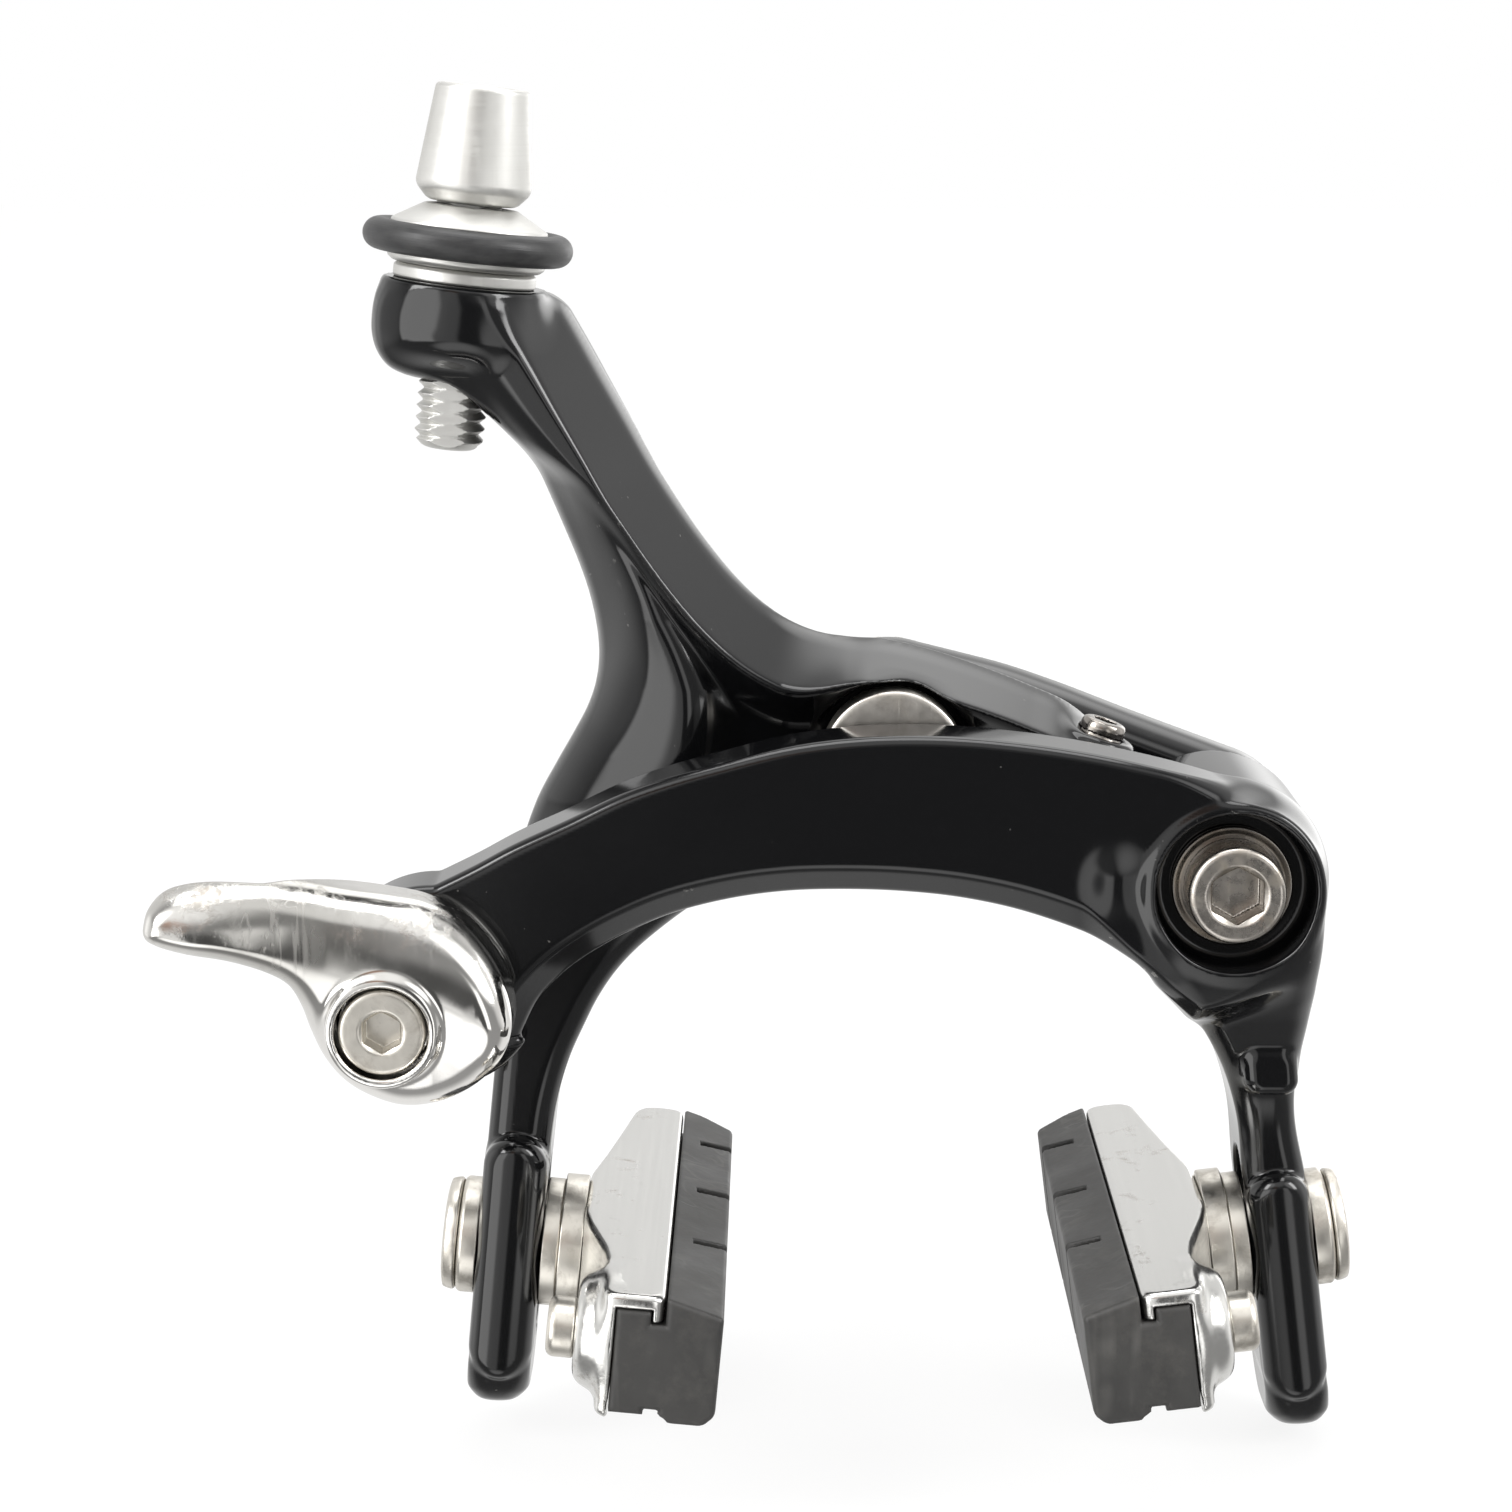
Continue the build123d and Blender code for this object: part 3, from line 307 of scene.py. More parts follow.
def build(name, node, solid, low, high, cell, material, probe=None):
    """Mesh the surface of a solid in the box low to high; probe is the gradient's step."""
    block = 8
    low, high = np.array(low, float) - 2 * cell, np.array(high, float) + 2 * cell
    blocks = np.ceil((high - low) / (cell * block)).astype(int)
    # one sample a block first; only blocks near the surface are sampled finely
    mid_x, mid_y, mid_z = (low[k] + (np.arange(blocks[k]) + 0.5) * block * cell - 0.5 * cell
                           for k in range(3))
    coarse = np.broadcast_to(solid(mid_x[:, None, None], mid_y[None, :, None],
                                   mid_z[None, None, :]), tuple(blocks))
    values = coarse
    for k in range(3):
        values = np.repeat(values, block, k)
    values = values.astype(np.float32) / cell
    near = np.argwhere(np.abs(coarse) < block * cell * 1.35)
    cells = np.arange(block)
    for start in range(0, len(near), 1500):
        batch = near[start:start + 1500]
        x, y, z = (low[k] + (batch[:, k, None] * block + cells) * cell for k in range(3))
        fine = np.broadcast_to(
            solid(x[:, :, None, None], y[:, None, :, None], z[:, None, None, :]),
            (len(batch), block, block, block)) / cell
        for samples, (i, j, k) in zip(fine, batch * block):
            values[i:i + block, j:j + block, k:k + block] = samples
    grid = openvdb.FloatGrid(1.0)
    grid.copyFromArray(np.ascontiguousarray(values, dtype=np.float32))
    points, quads = grid.convertToQuads(isovalue=0.0)
    points = low + points.astype(np.float64) * cell
    e = probe or max(0.12, cell * 0.5)
    # two steps pull the points onto the surface; the third pass gives the normals
    for step in range(3):
        x, y, z = points.T
        slope = np.stack([solid(x + e, y, z) - solid(x - e, y, z),
                          solid(x, y + e, z) - solid(x, y - e, z),
                          solid(x, y, z + e) - solid(x, y, z - e)], 1) / (2 * e)
        steepness = (slope ** 2).sum(1)
        if step < 2:
            move = solid(x, y, z) / maximum(steepness, 0.04)
            points = points - np.clip(move, -cell, cell)[:, None] * slope
    normals = slope / np.sqrt(maximum(steepness, 1e-9))[:, None]
    # turn the quads outwards if they are wound inwards
    first, second, third = (points[quads[:, k]] for k in range(3))
    if (np.cross(second - first, third - first) * normals[quads[:, 0]]).sum() < 0:
        quads = quads[:, ::-1]
    finish_piece(smooth_mesh(name, points, quads, normals), node, material)


def round_corners(profile, radius, steps=4):
    points = np.array(profile, float)
    out = []
    for i, corner in enumerate(points):
        back, on = points[i - 1] - corner, points[(i + 1) % len(points)] - corner
        back_length, on_length = np.linalg.norm(back), np.linalg.norm(on)
        size = min(radius, 0.45 * back_length, 0.45 * on_length)
        back, on = back / back_length, on / on_length
        if abs(back @ on) > 0.995:
            out.append(corner)
            continue
        for j in range(steps + 1):
            t = j / steps
            out.append((1 - t) ** 2 * (corner + back * size) + 2 * t * (1 - t) * corner
                       + t * t * (corner + on * size))
    return np.array(out)


def lathe(name, node, profile, origin, axis, material, corner):
    """Turn a closed profile of (radius, distance along the axis), clear of the axis."""
    profile = round_corners(profile, corner)
    axis = np.array(axis, float)
    axis /= np.linalg.norm(axis)
    across = np.cross(axis, [0.0, 1.0, 0.0])
    if np.linalg.norm(across) < 0.1:
        across = np.cross(axis, [1.0, 0.0, 0.0])
    across /= np.linalg.norm(across)
    segments = 120
    angle = np.linspace(0, 2 * math.pi, segments, endpoint=False)[:, None]
    ring = np.cos(angle) * across + np.sin(angle) * np.cross(axis, across)
    radius, along = profile.T
    vertices = (np.array(origin)[None, None] + radius[None, :, None] * ring[:, None]
                + along[None, :, None] * axis[None, None])
    count = len(profile)
    i = np.arange(segments)[:, None]
    j = np.arange(count)[None, :]
    here, after = i * count, ((i + 1) % segments) * count
    on = (j + 1) % count
    quads = np.stack([here + j, here + on, after + on, after + j], -1).reshape(-1, 4)
    if np.sum(radius * np.roll(along, -1) - np.roll(radius, -1) * along) > 0:
        quads = quads[:, ::-1]
    obj = smooth_mesh(name, vertices.reshape(-1, 3), quads)
    obj.data.set_sharp_from_angle(angle=math.radians(38))
    finish_piece(obj, node, material)


def wire(name, node, path, radius, material, segments=28):
    """Round wire along a path, with eased flat ends."""
    tangent = np.gradient(path, axis=0)
    tangent /= np.linalg.norm(tangent, axis=1)[:, None]
    across = np.cross(tangent, [0.0, 1.0, 0.0])
    across /= np.linalg.norm(across, axis=1)[:, None]
    angle = np.linspace(0, 2 * math.pi, segments, endpoint=False)[:, None]
    taper = [0.55, 0.85] + [1.0] * (len(path) - 4) + [0.85, 0.55]
    vertices = np.vstack([
        centre + radius * scale * (np.cos(angle) * one + np.sin(angle) * other)
        for centre, one, other, scale in zip(path, across, np.cross(tangent, across), taper)])
    sides = []
    for i in range(0, (len(path) - 1) * segments, segments):
        for j in range(segments):
            k = (j + 1) % segments
            sides.append((i + j, i + k, i + segments + k, i + segments + j))
    last = (len(path) - 1) * segments
    caps = [tuple(range(segments))[::-1], tuple(range(last, last + segments))]
    mesh = bpy.data.meshes.new(name)
    mesh.from_pydata((vertices * MM).tolist(), [], sides + caps)
    mesh.polygons.foreach_set("use_smooth", [True] * len(sides) + [False, False])
    mesh.update()
    finish_piece(add_object(name, mesh), node, material)


# ---- shader nodes ---------------------------------------------------------
class Nodes:
    """Short calls for building a node tree."""

    def __init__(self, tree):
        self.tree = tree

    def new(self, kind, **settings):
        node = self.tree.nodes.new(kind)
        for key, value in settings.items():
            setattr(node, key, value)
        return node

    def feed(self, socket, value):
        """Give an input a link, an RGB tuple or a number."""
        if isinstance(value, bpy.types.NodeSocket):
            self.tree.links.new(value, socket)
        else:
            socket.default_value = (*value, 1.0) if isinstance(value, tuple) else value

    def math(self, operation, one, other):
        node = self.new("ShaderNodeMath", operation=operation)
        self.feed(node.inputs[0], one)
        self.feed(node.inputs[1], other)
        return node.outputs[0]

    def plus(self, one, other):
        return self.math("ADD", one, other)

    def times(self, one, other):
        return self.math("MULTIPLY", one, other)

    def remap(self, value, span, to=(0.0, 1.0), smooth=False):
        node = self.new("ShaderNodeMapRange")
        if smooth:
            node.interpolation_type = "SMOOTHSTEP"
        self.feed(node.inputs["Value"], value)
        for i, number in enumerate((*span, *to), 1):
            node.inputs[i].default_value = number
        return node.outputs["Result"]

    def mix(self, amount, base, layer):
        """Colour base, with amount of layer over it."""
        node = self.new("ShaderNodeMix", data_type="RGBA")
        for i, value in ((0, amount), (6, base), (7, layer)):
            self.feed(node.inputs[i], value)
        return node.outputs[2]

    def split(self, vector):
        node = self.new("ShaderNodeSeparateXYZ")
        self.feed(node.inputs[0], vector)
        return node.outputs


class Material(Nodes):
    """Principled material in object coordinates, which are metres."""

    def __init__(self, name):
        self.data = bpy.data.materials.new(name)
        self.data.use_nodes = True
        super().__init__(self.data.node_tree)
        self.shader = self.tree.nodes["Principled BSDF"]
        self.place = self.new("ShaderNodeTexCoord").outputs["Object"]

    def noise(self, scale, detail=4.0, rough=0.55, vector=None, warp=0.0):
        node = self.new("ShaderNodeTexNoise")
        self.feed(node.inputs["Vector"], vector or self.place)
        for socket, value in (("Scale", scale), ("Detail", detail),
                              ("Roughness", rough), ("Distortion", warp)):
            node.inputs[socket].default_value = value
        return node.outputs["Fac"]

    def stretch(self, scale, turn=(0, 0, 0)):
        node = self.new("ShaderNodeMapping")
        self.feed(node.inputs["Vector"], self.place)
        node.inputs["Scale"].default_value = scale
        node.inputs["Rotation"].default_value = turn
        return node.outputs["Vector"]

    def bump(self, height, strength, depth, under=None):
        node = self.new("ShaderNodeBump")
        node.inputs["Strength"].default_value = strength
        node.inputs["Distance"].default_value = depth
        self.feed(node.inputs["Height"], height)
        if under is not None:
            self.feed(node.inputs["Normal"], under)
        return node.outputs["Normal"]

    def set(self, **values):
        for key, value in values.items():
            self.feed(self.shader.inputs[key.replace("_", " ")], value)
        return self.data

    def scratches(self, scale, width, turns=((0.3, 0.1), (1.2, 0.7), (-0.8, 0.4))):
        """Thin patchy lines, one set for each pair of turns about Y and Z."""
        total = None
        for i, (turn_y, turn_z) in enumerate(turns):
            vector = self.stretch(scale=(scale, scale, scale * 0.035),
                                  turn=(turn_y * 0.6, turn_y, turn_z + i))
            wave = self.noise(scale=1.0, detail=2.0, rough=0.5, vector=vector, warp=0.6)
            line = self.times(self.remap(wave, span=(0.5, 0.5 + width), to=(1.0, 0.0)),
                              self.remap(wave, span=(0.5 - width, 0.5)))
            patch = self.remap(self.noise(scale=90.0 + 37 * i, detail=2.0, rough=0.5),
                               span=(0.55, 0.68))
            line = self.times(line, patch)
            total = line if total is None else self.math("MAXIMUM", total, line)
        return total


def black_paint():
    """Gloss black with faint scratches, nicked edges and specks."""
    m = Material("black_arm")
    scratch = m.times(m.scratches(scale=650.0, width=0.02),
                      m.remap(m.noise(scale=55.0, detail=2.0), span=(0.60, 0.68)))
    edge = m.remap(m.new("ShaderNodeNewGeometry").outputs["Pointiness"], span=(0.53, 0.62))
    nick = m.times(edge, m.remap(m.noise(scale=700.0, detail=3.0, rough=0.7),
                                 span=(0.60, 0.66)))
    nick = m.times(nick, m.remap(m.noise(scale=80.0, detail=2.0), span=(0.5, 0.6)))
    speck = m.remap(m.noise(scale=1900.0, detail=1.0), span=(0.81, 0.83))
    colour = m.mix(m.times(scratch, 0.10), (0.0035, 0.0036, 0.0040), (0.09, 0.09, 0.088))
    colour = m.mix(m.math("MAXIMUM", nick, m.times(speck, 0.3)), colour, (0.20, 0.195, 0.185))
    rough = m.remap(m.noise(scale=60.0, detail=3.0), span=(0.3, 0.7), to=(0.06, 0.12))
    rough = m.plus(rough, m.times(scratch, 0.05))
    rough = m.plus(rough, m.times(m.noise(scale=900.0, detail=2.0), 0.03))
    waves = m.bump(m.noise(scale=35.0, detail=2.0), strength=0.05, depth=0.0004)
    return m.set(Base_Color=colour, Roughness=rough, IOR=1.5, Metallic=0.0,
                 Normal=m.bump(scratch, strength=0.04, depth=0.00002, under=waves))


def chrome(pitted):
    """Plating; the pitted kind is hazed and pitted towards the lever's upper edge, where its
    colour is also painted darker as shade.
    """
    m = Material("chrome")
    rough = m.remap(m.noise(scale=140.0, detail=5.0, rough=0.6),
                    span=(0.35, 0.7), to=(0.035, 0.13))
    colour = (0.86, 0.845, 0.82)
    normal = m.bump(m.noise(scale=105.0, detail=2.0), strength=0.30, depth=0.0007)
    if pitted:
        height = m.split(m.place)[2]
        top = m.remap(height, span=(-0.0135, -0.0085), to=(0.06, 1.0), smooth=True)
        pit = m.remap(m.noise(scale=820.0, detail=6.0, rough=0.75, warp=0.3),
                      span=(0.50, 0.62), to=(0.0, 0.75))
        patch = m.remap(m.noise(scale=150.0), span=(0.42, 0.60))
        stain = m.remap(m.noise(scale=260.0, detail=5.0, rough=0.7),
                        span=(0.62, 0.72), to=(0.0, 0.35))
        wear = m.math("MAXIMUM", m.times(m.times(pit, patch), top), stain)
        # rougher haze towards the top; the darker colour it gives there is painted shade on the
        # lever's upper part
        haze_and_shade = m.times(m.remap(height, span=(-0.0230, -0.0120), smooth=True),
                       m.remap(m.noise(scale=90.0), span=(0.38, 0.60), to=(0.45, 1.0)))
        colour = m.mix(haze_and_shade, (0.84, 0.825, 0.80), (0.50, 0.49, 0.465))
        colour = m.mix(wear, colour, (0.30, 0.265, 0.225))
        rough = m.plus(rough, m.times(haze_and_shade, 0.10))
        rough = m.plus(rough, m.times(wear, 0.42))
        normal = m.bump(wear, strength=0.35, depth=0.00007, under=normal)
    rough = m.plus(rough, m.times(m.scratches(scale=500.0, width=0.05), 0.18))
    return m.set(Base_Color=colour, Roughness=rough, Metallic=1.0, Normal=normal)


def turned_aluminium():
    """Satin, with fine rings square to the adjuster axis."""
    m = Material("satin_aluminium")
    rings = m.noise(scale=1.0, detail=3.0, rough=0.6,
                    vector=m.stretch(scale=(60.0, 60.0, 5200.0), turn=(0, -LEAN, 0)))
    colour = m.mix(m.remap(m.noise(scale=220.0), span=(0.35, 0.75)),
                   (0.66, 0.655, 0.635), (0.60, 0.595, 0.57))
    rough = m.plus(m.remap(rings, span=(0.3, 0.7), to=(0.40, 0.52)),
                   m.times(m.scratches(scale=350.0, width=0.04), 0.12))
    waves = m.bump(m.noise(scale=160.0, detail=3.0), strength=0.06, depth=0.0003)
    return m.set(Base_Color=colour, Metallic=1.0, Roughness=rough,
                 Normal=m.bump(rings, strength=0.14, depth=0.00003, under=waves))


def brushed_aluminium():
    """Pad holders: polished, with fine lengthwise lines and some scuffs."""
    m = Material("brushed_aluminium")
    lines = m.noise(scale=1.0, detail=3.0, rough=0.6,
                    vector=m.stretch(scale=(3200.0, 45.0, 3200.0)))
    scuff = m.remap(m.noise(scale=240.0, detail=5.0, rough=0.7, warp=0.5), span=(0.60, 0.72))
    rough = m.plus(m.remap(lines, span=(0.3, 0.7), to=(0.15, 0.27)), m.times(scuff, 0.22))
    dents = m.bump(scuff, strength=0.15, depth=0.00006)
    return m.set(Base_Color=m.mix(scuff, (0.68, 0.675, 0.655), (0.40, 0.38, 0.35)),
                 Metallic=1.0, Roughness=rough,
                 Normal=m.bump(lines, strength=0.14, depth=0.00004, under=dents))


def steel(name, tint, grime, dull=0.0):
    """Steel with brown blotches and rust; dull shifts the roughness."""
    m = Material(name)
    blotch = m.noise(scale=330.0, detail=6.0, rough=0.68, warp=0.3)
    dirt = m.remap(blotch, span=(0.50, 0.68), to=(0.0, grime))
    rust = m.remap(m.noise(scale=620.0, detail=5.0, rough=0.7),
                   span=(0.63, 0.74), to=(0.0, grime * 0.7))
    colour = m.mix(dirt, tint, (0.30, 0.27, 0.225))
    colour = m.mix(rust, colour, (0.16, 0.085, 0.045))
    rough = m.plus(m.remap(m.noise(scale=900.0), span=(0.3, 0.7), to=(0.28 + dull, 0.38 + dull)),
                   m.times(m.plus(dirt, rust), 0.20))
    lines = m.bump(m.scratches(scale=600.0, width=0.05), strength=0.2, depth=0.00003)
    return m.set(Base_Color=colour, Metallic=1.0, Roughness=rough,
                 Normal=m.bump(blotch, strength=0.16, depth=0.00012, under=lines))


def pad_rubber():
    """Dusty, scratched brake rubber."""
    m = Material("pad_rubber")
    blotch = m.noise(scale=150.0, detail=5.0, rough=0.65)
    dust = m.remap(m.noise(scale=420.0, detail=6.0, rough=0.75), span=(0.50, 0.72))
    scratch = m.scratches(scale=260.0, width=0.06,
                          turns=((0.05, 0.02), (0.2, -0.1), (-0.15, 0.3)))
    colour = m.mix(m.remap(blotch, span=(0.3, 0.75)),
                   (0.020, 0.0195, 0.019), (0.036, 0.035, 0.033))
    colour = m.mix(m.times(dust, 0.22), colour, (0.085, 0.078, 0.068))
    colour = m.mix(m.times(scratch, 0.35), colour, (0.10, 0.097, 0.09))
    lines = m.bump(scratch, strength=0.25, depth=0.00006)
    return m.set(Base_Color=colour, IOR=1.5,
                 Roughness=m.remap(blotch, span=(0.3, 0.7), to=(0.42, 0.62)),
                 Normal=m.bump(m.noise(scale=1300.0, rough=0.7), strength=0.25,
                               depth=0.00008, under=lines))


def grip_rubber():
    m = Material("grip_rubber")
    blotch = m.noise(scale=500.0, rough=0.6, vector=m.stretch(scale=(1.0, 1.0, 3.0)))
    return m.set(Base_Color=m.mix(m.remap(blotch, span=(0.4, 0.7)),
                                  (0.014, 0.014, 0.015), (0.028, 0.028, 0.028)),
                 Roughness=m.remap(blotch, span=(0.3, 0.7), to=(0.36, 0.5)), IOR=1.5,
                 Normal=m.bump(m.noise(scale=1500.0, detail=3.0), strength=0.18, depth=0.00006))


def plastic():
    m = Material("plastic")
    grain = m.noise(scale=700.0, detail=3.0)
    return m.set(Base_Color=m.mix(grain, (0.02, 0.02, 0.02), (0.045, 0.045, 0.043)),
                 Roughness=m.remap(grain, span=(0.3, 0.7), to=(0.4, 0.55)),
                 Normal=m.bump(grain, strength=0.1, depth=0.00005))


def bronze():
    m = Material("bronze")
    grain = m.noise(scale=900.0, detail=5.0, rough=0.7)
    return m.set(Base_Color=m.mix(grain, (0.32, 0.23, 0.12), (0.60, 0.47, 0.28)), Metallic=1.0,
                 Roughness=m.remap(grain, span=(0.3, 0.7), to=(0.3, 0.5)),
                 Normal=m.bump(grain, strength=0.15, depth=0.00005))


BLACK = black_paint()
CHROME = chrome(pitted=True)
TURNED = turned_aluminium()
PLATE = chrome(pitted=False)
BRUSHED = brushed_aluminium()
STEEL = steel("steel", tint=(0.66, 0.63, 0.585), grime=0.5)
RUBBER = pad_rubber()
PAD_STEEL = steel("pad_steel", tint=(0.70, 0.67, 0.61), grime=0.6)
# dark tint and heavy grime: on the side pivot washer the dark tint is painted shade in the
# recess; on the centring screw it makes the steel darker
SHADE_AND_GRIME_STEEL = steel("shade_and_grime_steel", tint=(0.30, 0.28, 0.26), grime=0.8, dull=-0.16)
# plain steel with a darker tint: painted shade on the head of the side pivot bolt
SHADED_HEAD_STEEL = steel("shaded_head_steel", tint=(0.46, 0.43, 0.395), grime=0.9, dull=-0.06)
GRIP = grip_rubber()
PLASTIC = plastic()
BRONZE = bronze()


# ---- straps: the lower ends of both arms, which hold the pads -------------
def strap_tip(side, turn, shoulder, bend, tip):
    """Rounded end of a strap; turn is 1 for outer side to inner side, -1 for the reverse."""
    across = (-HALF_STRAP, -1.9, 0, 1.9, HALF_STRAP)
    return curve([strap_point(side, turn * inwards, upwards)
                  for inwards, upwards in zip(across, (shoulder, bend, tip, bend, shoulder))])


def leg_side(front, back, tip_z):
    """Closed (y, z) view of a leg: front line down, round tip, back line up."""
    return np.vstack([curve(front), arc((AXIS_Y, tip_z), 6.2, 180, 360, 60), curve(back)])


def add_strap_land(solid, inwards, upwards, ahead, centre, half_length):
    """Add a raised, crowned land on the front of a strap."""
    land = rounded_box(inwards, upwards - centre, 2.78, half_length, 2.7)
    land = meet(land, (ahead - 19.9 + inwards * inwards / 8.5) * 0.9, 1.2)
    return soft_min(solid, maximum(land, 12.0 - ahead), 0.4)


def cut_strap_slot(solid, inwards, upwards, y):
    """Cut the upright slot for the pad bolt."""
    slot = hypot(y - AXIS_Y, maximum(np.abs(upwards) - 5.0, 0)) - 3.15
    return cut(solid, maximum(slot, np.abs(inwards) - 6.0), 0.35)


# ---- front arch arm -------------------------------------------------------
# outlines are (x, z)
ARCH_TOP = curve([
    (-38.2, -8.9), (-34.8, -7.2), (-31.7, -5.5), (-27.0, -3.3), (-22.7, -1.2), (-18.8, 0.2),
    (-14.6, 1.4), (-9.0, 2.8), (-4.0, 3.5), (0.6, 3.72), (5.4, 3.6), (10.6, 3.1), (15.6, 2.35),
    (19.5, 1.55), (24.0, 0.45), (28.0, -0.75), (31.5, -1.9)])
ARCH_UNDERSIDE = curve([
    (25.3, -20.4), (23.4, -18.4), (21.4, -16.5), (19.0, -14.9), (17.0, -13.8), (14.8, -12.85),
    (10.1, -11.3), (5.3, -10.3), (0.5, -9.8), (-4.2, -9.65), (-9.0, -9.8), (-13.7, -10.45),
    (-18.5, -11.7), (-22.0, -13.2), (-24.4, -14.5), (-26.8, -16.1), (-28.6, -17.7),
    (-30.0, -19.4), (-31.4, -22.3)])
ARCH = Field(np.vstack([ARCH_TOP, arc((SIDE_X, SIDE_Z), 8.15, 65, -70),
                        ARCH_UNDERSIDE, arc((CAM_X, CAM_Z), 9.0, -32, -268, 80)]))
# line along the arch; the broad bevel lies below it
ARCH_MIDDLE_X = [-50, -40, -34, -28, -20, -10, 0, 10, 18, 24, 30, 40]
ARCH_MIDDLE_Z = [-16, -14.5, -12.5, -9.5, -6.2, -3.6, -3.0, -3.8, -5.6, -9.0, -14.0, -20.0]
RIGHT_LEG = Field(np.vstack([
    curve([(32.6, -9.3), (34.9, -13.6), (35.45, -17.6), (35.3, -21.8), (35.0, -26.5),
           (35.1, -31.5), strap_point("right", -HALF_STRAP, 6.0)]),
    strap_tip("right", turn=1, shoulder=-15.6, bend=-17.3, tip=-17.9),
    curve([strap_point("right", HALF_STRAP, 6.0), (30.1, -31.8), (28.6, -27.0),
           (26.0, -22.0), (22.6, -17.4)]),
    [(22.6, -9.3)]]))
RIGHT_LEG_SIDE = Field(leg_side(
    front=[(-27.0, -5.0), (-27.0, -13.0), (-26.2, -17.0), (-23.2, -21.5), (-20.4, -26.0),
           (-18.4, -29.6), (-17.8, -34.0), (-17.9, -38.0), (-18.1, -48.0), (-18.6, -54.9)],
    back=[(-6.4, -54.9), (-6.4, -40.0), (-6.4, -30.0), (-7.3, -23.0), (-8.1, -16.0),
          (-8.1, -5.0)],
    tip_z=-54.9))


def arch_arm(x, y, z):
    ahead = -y
    from_pivot = hypot(x - SIDE_X, z - SIDE_Z)
    # arch, with a round upper edge and a broad bevel below the middle line
    outline = ARCH(x, z)
    middle = np.interp(x, ARCH_MIDDLE_X, ARCH_MIDDLE_Z)
    below = 1 - ramp(z, middle - 1.0, middle + 1.0)
    clear = ramp(from_pivot, 8.5, 13.0)
    dip = np.exp(-((x - SIDE_X + 9.7) / 1.6) ** 2 / 2 - ((z - SIDE_Z - 0.6) / 2.1) ** 2 / 2)
    front = (ahead - 27.0 + 0.75 * dip) * 0.96
    outer = ramp(x - SIDE_X + 0.55 * (z - SIDE_Z), -1.0, 7.0)
    bevel = (outline + front + 0.42 + 1.95 * below * clear) * 0.70711
    arch = soft_max(meet(outline, front * (1 - 0.6 * outer), 0.55 + 2.2 * outer), bevel,
                    0.35 + 1.2 * outer)
    arch = meet(arch, 20.2 - ahead, 0.6)
    # side boss with a rounded shoulder, then the leg and a narrow raised lip
    boss = meet(from_pivot - 8.4, (ahead - 26.6) * 0.42, 2.7)
    solid = soft_min(arch, maximum(boss, 8.1 - ahead), 0.8)
    solid = soft_min(solid, meet(RIGHT_LEG(x, z), RIGHT_LEG_SIDE(y, z), 2.0), 3.2)
    lip = meet(np.abs(from_pivot - 7.0) - 0.42, ahead - 27.0, 0.38)
    solid = soft_min(solid, maximum(lip, 22.0 - ahead), 0.9)
    inwards, upwards = strap_local("right", x, z)
    solid = add_strap_land(solid, inwards, upwards, ahead, centre=-3.3, half_length=10.3)
    # rounded stop above the strap
    stop = rounded_box(x - 32.2 + 0.1 * (z + 26), z + 26.2, 2.3, 2.15, 1.5)
    stop = maximum(meet(stop, ahead - 21.9, 1.1), 14.0 - ahead)
    solid = soft_min(solid, stop, 0.9)
    # synchronising lobe behind the arch
    u, v = bridge_local(x, z)
    lobe = maximum(maximum(v, -(v + 3.0 + (u - 13.4) * 0.45)), maximum(13.4 - u, u - 24))
    lobe = meet(meet(lobe, ahead - 17.2, 0.6), 9.6 - ahead, 0.6)
    solid = soft_min(solid, lobe, 0.6)
    # recess and bore of the side pivot, hole round the cam, slot
    solid = cut(solid, meet(from_pivot - 6.62, 23.5 - ahead, 0.8), 0.3)
    solid = drill(solid, from_pivot - 3.75)
    solid = cut(solid, disc(x, z, CAM_X, CAM_Z, 6.55), 0.3)
    return cut_strap_slot(solid, inwards, upwards, y)


build("arch_arm_body", "c_arm", arch_arm, (-48.5, -28.0, -62.0), (40.5, -5.6, 5.0), 0.24, BLACK)

# ---- adjuster arm ---------------------------------------------------------
# left and right edges from the adjuster down, (x, z)
LEFT_LINE = curve([
    (-42.4, 40.6), (-43.4, 38.2), (-43.55, 36.0), (-43.3, 34.3), (-42.5, 33.1), (-41.2, 32.4),
    (-39.4, 31.9), (-37.5, 31.2), (-35.4, 29.9), (-33.6, 28.4), (-32.0, 26.6), (-30.6, 24.4),
    (-29.2, 21.5), (-28.0, 18.8), (-26.9, 16.1), (-26.0, 13.4), (-25.4, 10.6), (-25.2, 8.0),
    (-25.5, 5.6), (-26.2, 3.5), (-27.4, 1.2), (-29.0, -1.6), (-30.7, -4.8), (-32.0, -8.6),
    (-33.0, -14.0), (-33.7, -21.0), (-34.55, -29.5)])
RIGHT_LINE = curve([
    (-28.9, 39.7), (-26.4, 35.4), (-24.3, 31.6), (-22.2, 27.9), (-20.0, 24.0), (-17.6, 20.3),
    (-15.2, 17.0), (-13.1, 14.5), (-11.0, 12.5), (-8.8, 11.0), (-6.3, 9.95), (-3.6, 9.5),
    (-0.6, 9.3), (3.0, 8.5), (7.6, 7.0), (12.2, 5.2), (15.6, 3.6), bridge_point(19.2, 6.0)])
ADJUSTER_ARM = Field(np.vstack([
    RIGHT_LINE, [bridge_point(19.2, 2.4), bridge_point(12.5, 2.4)],
    arc((0, 0), 8.6, 2, -98, 50),
    curve([(-1.2, -8.52), (-8.0, -9.2), (-14.5, -11.4), (-20.6, -15.8), (-23.4, -18.6),
           (-25.2, -21.2), (-26.5, -23.8), (-27.9, -27.0), (-29.0, -31.0),
           strap_point("left", HALF_STRAP, 6.5)]),
    strap_tip("left", turn=-1, shoulder=-12.8, bend=-14.6, tip=-15.2),
    [strap_point("left", -HALF_STRAP, 5.0)], LEFT_LINE[::-1]]))
RIGHT_EDGE, LEFT_EDGE = (Field(line, closed=False, margin=14.0, reach=22.0, soft=0)
                         for line in (RIGHT_LINE, LEFT_LINE))
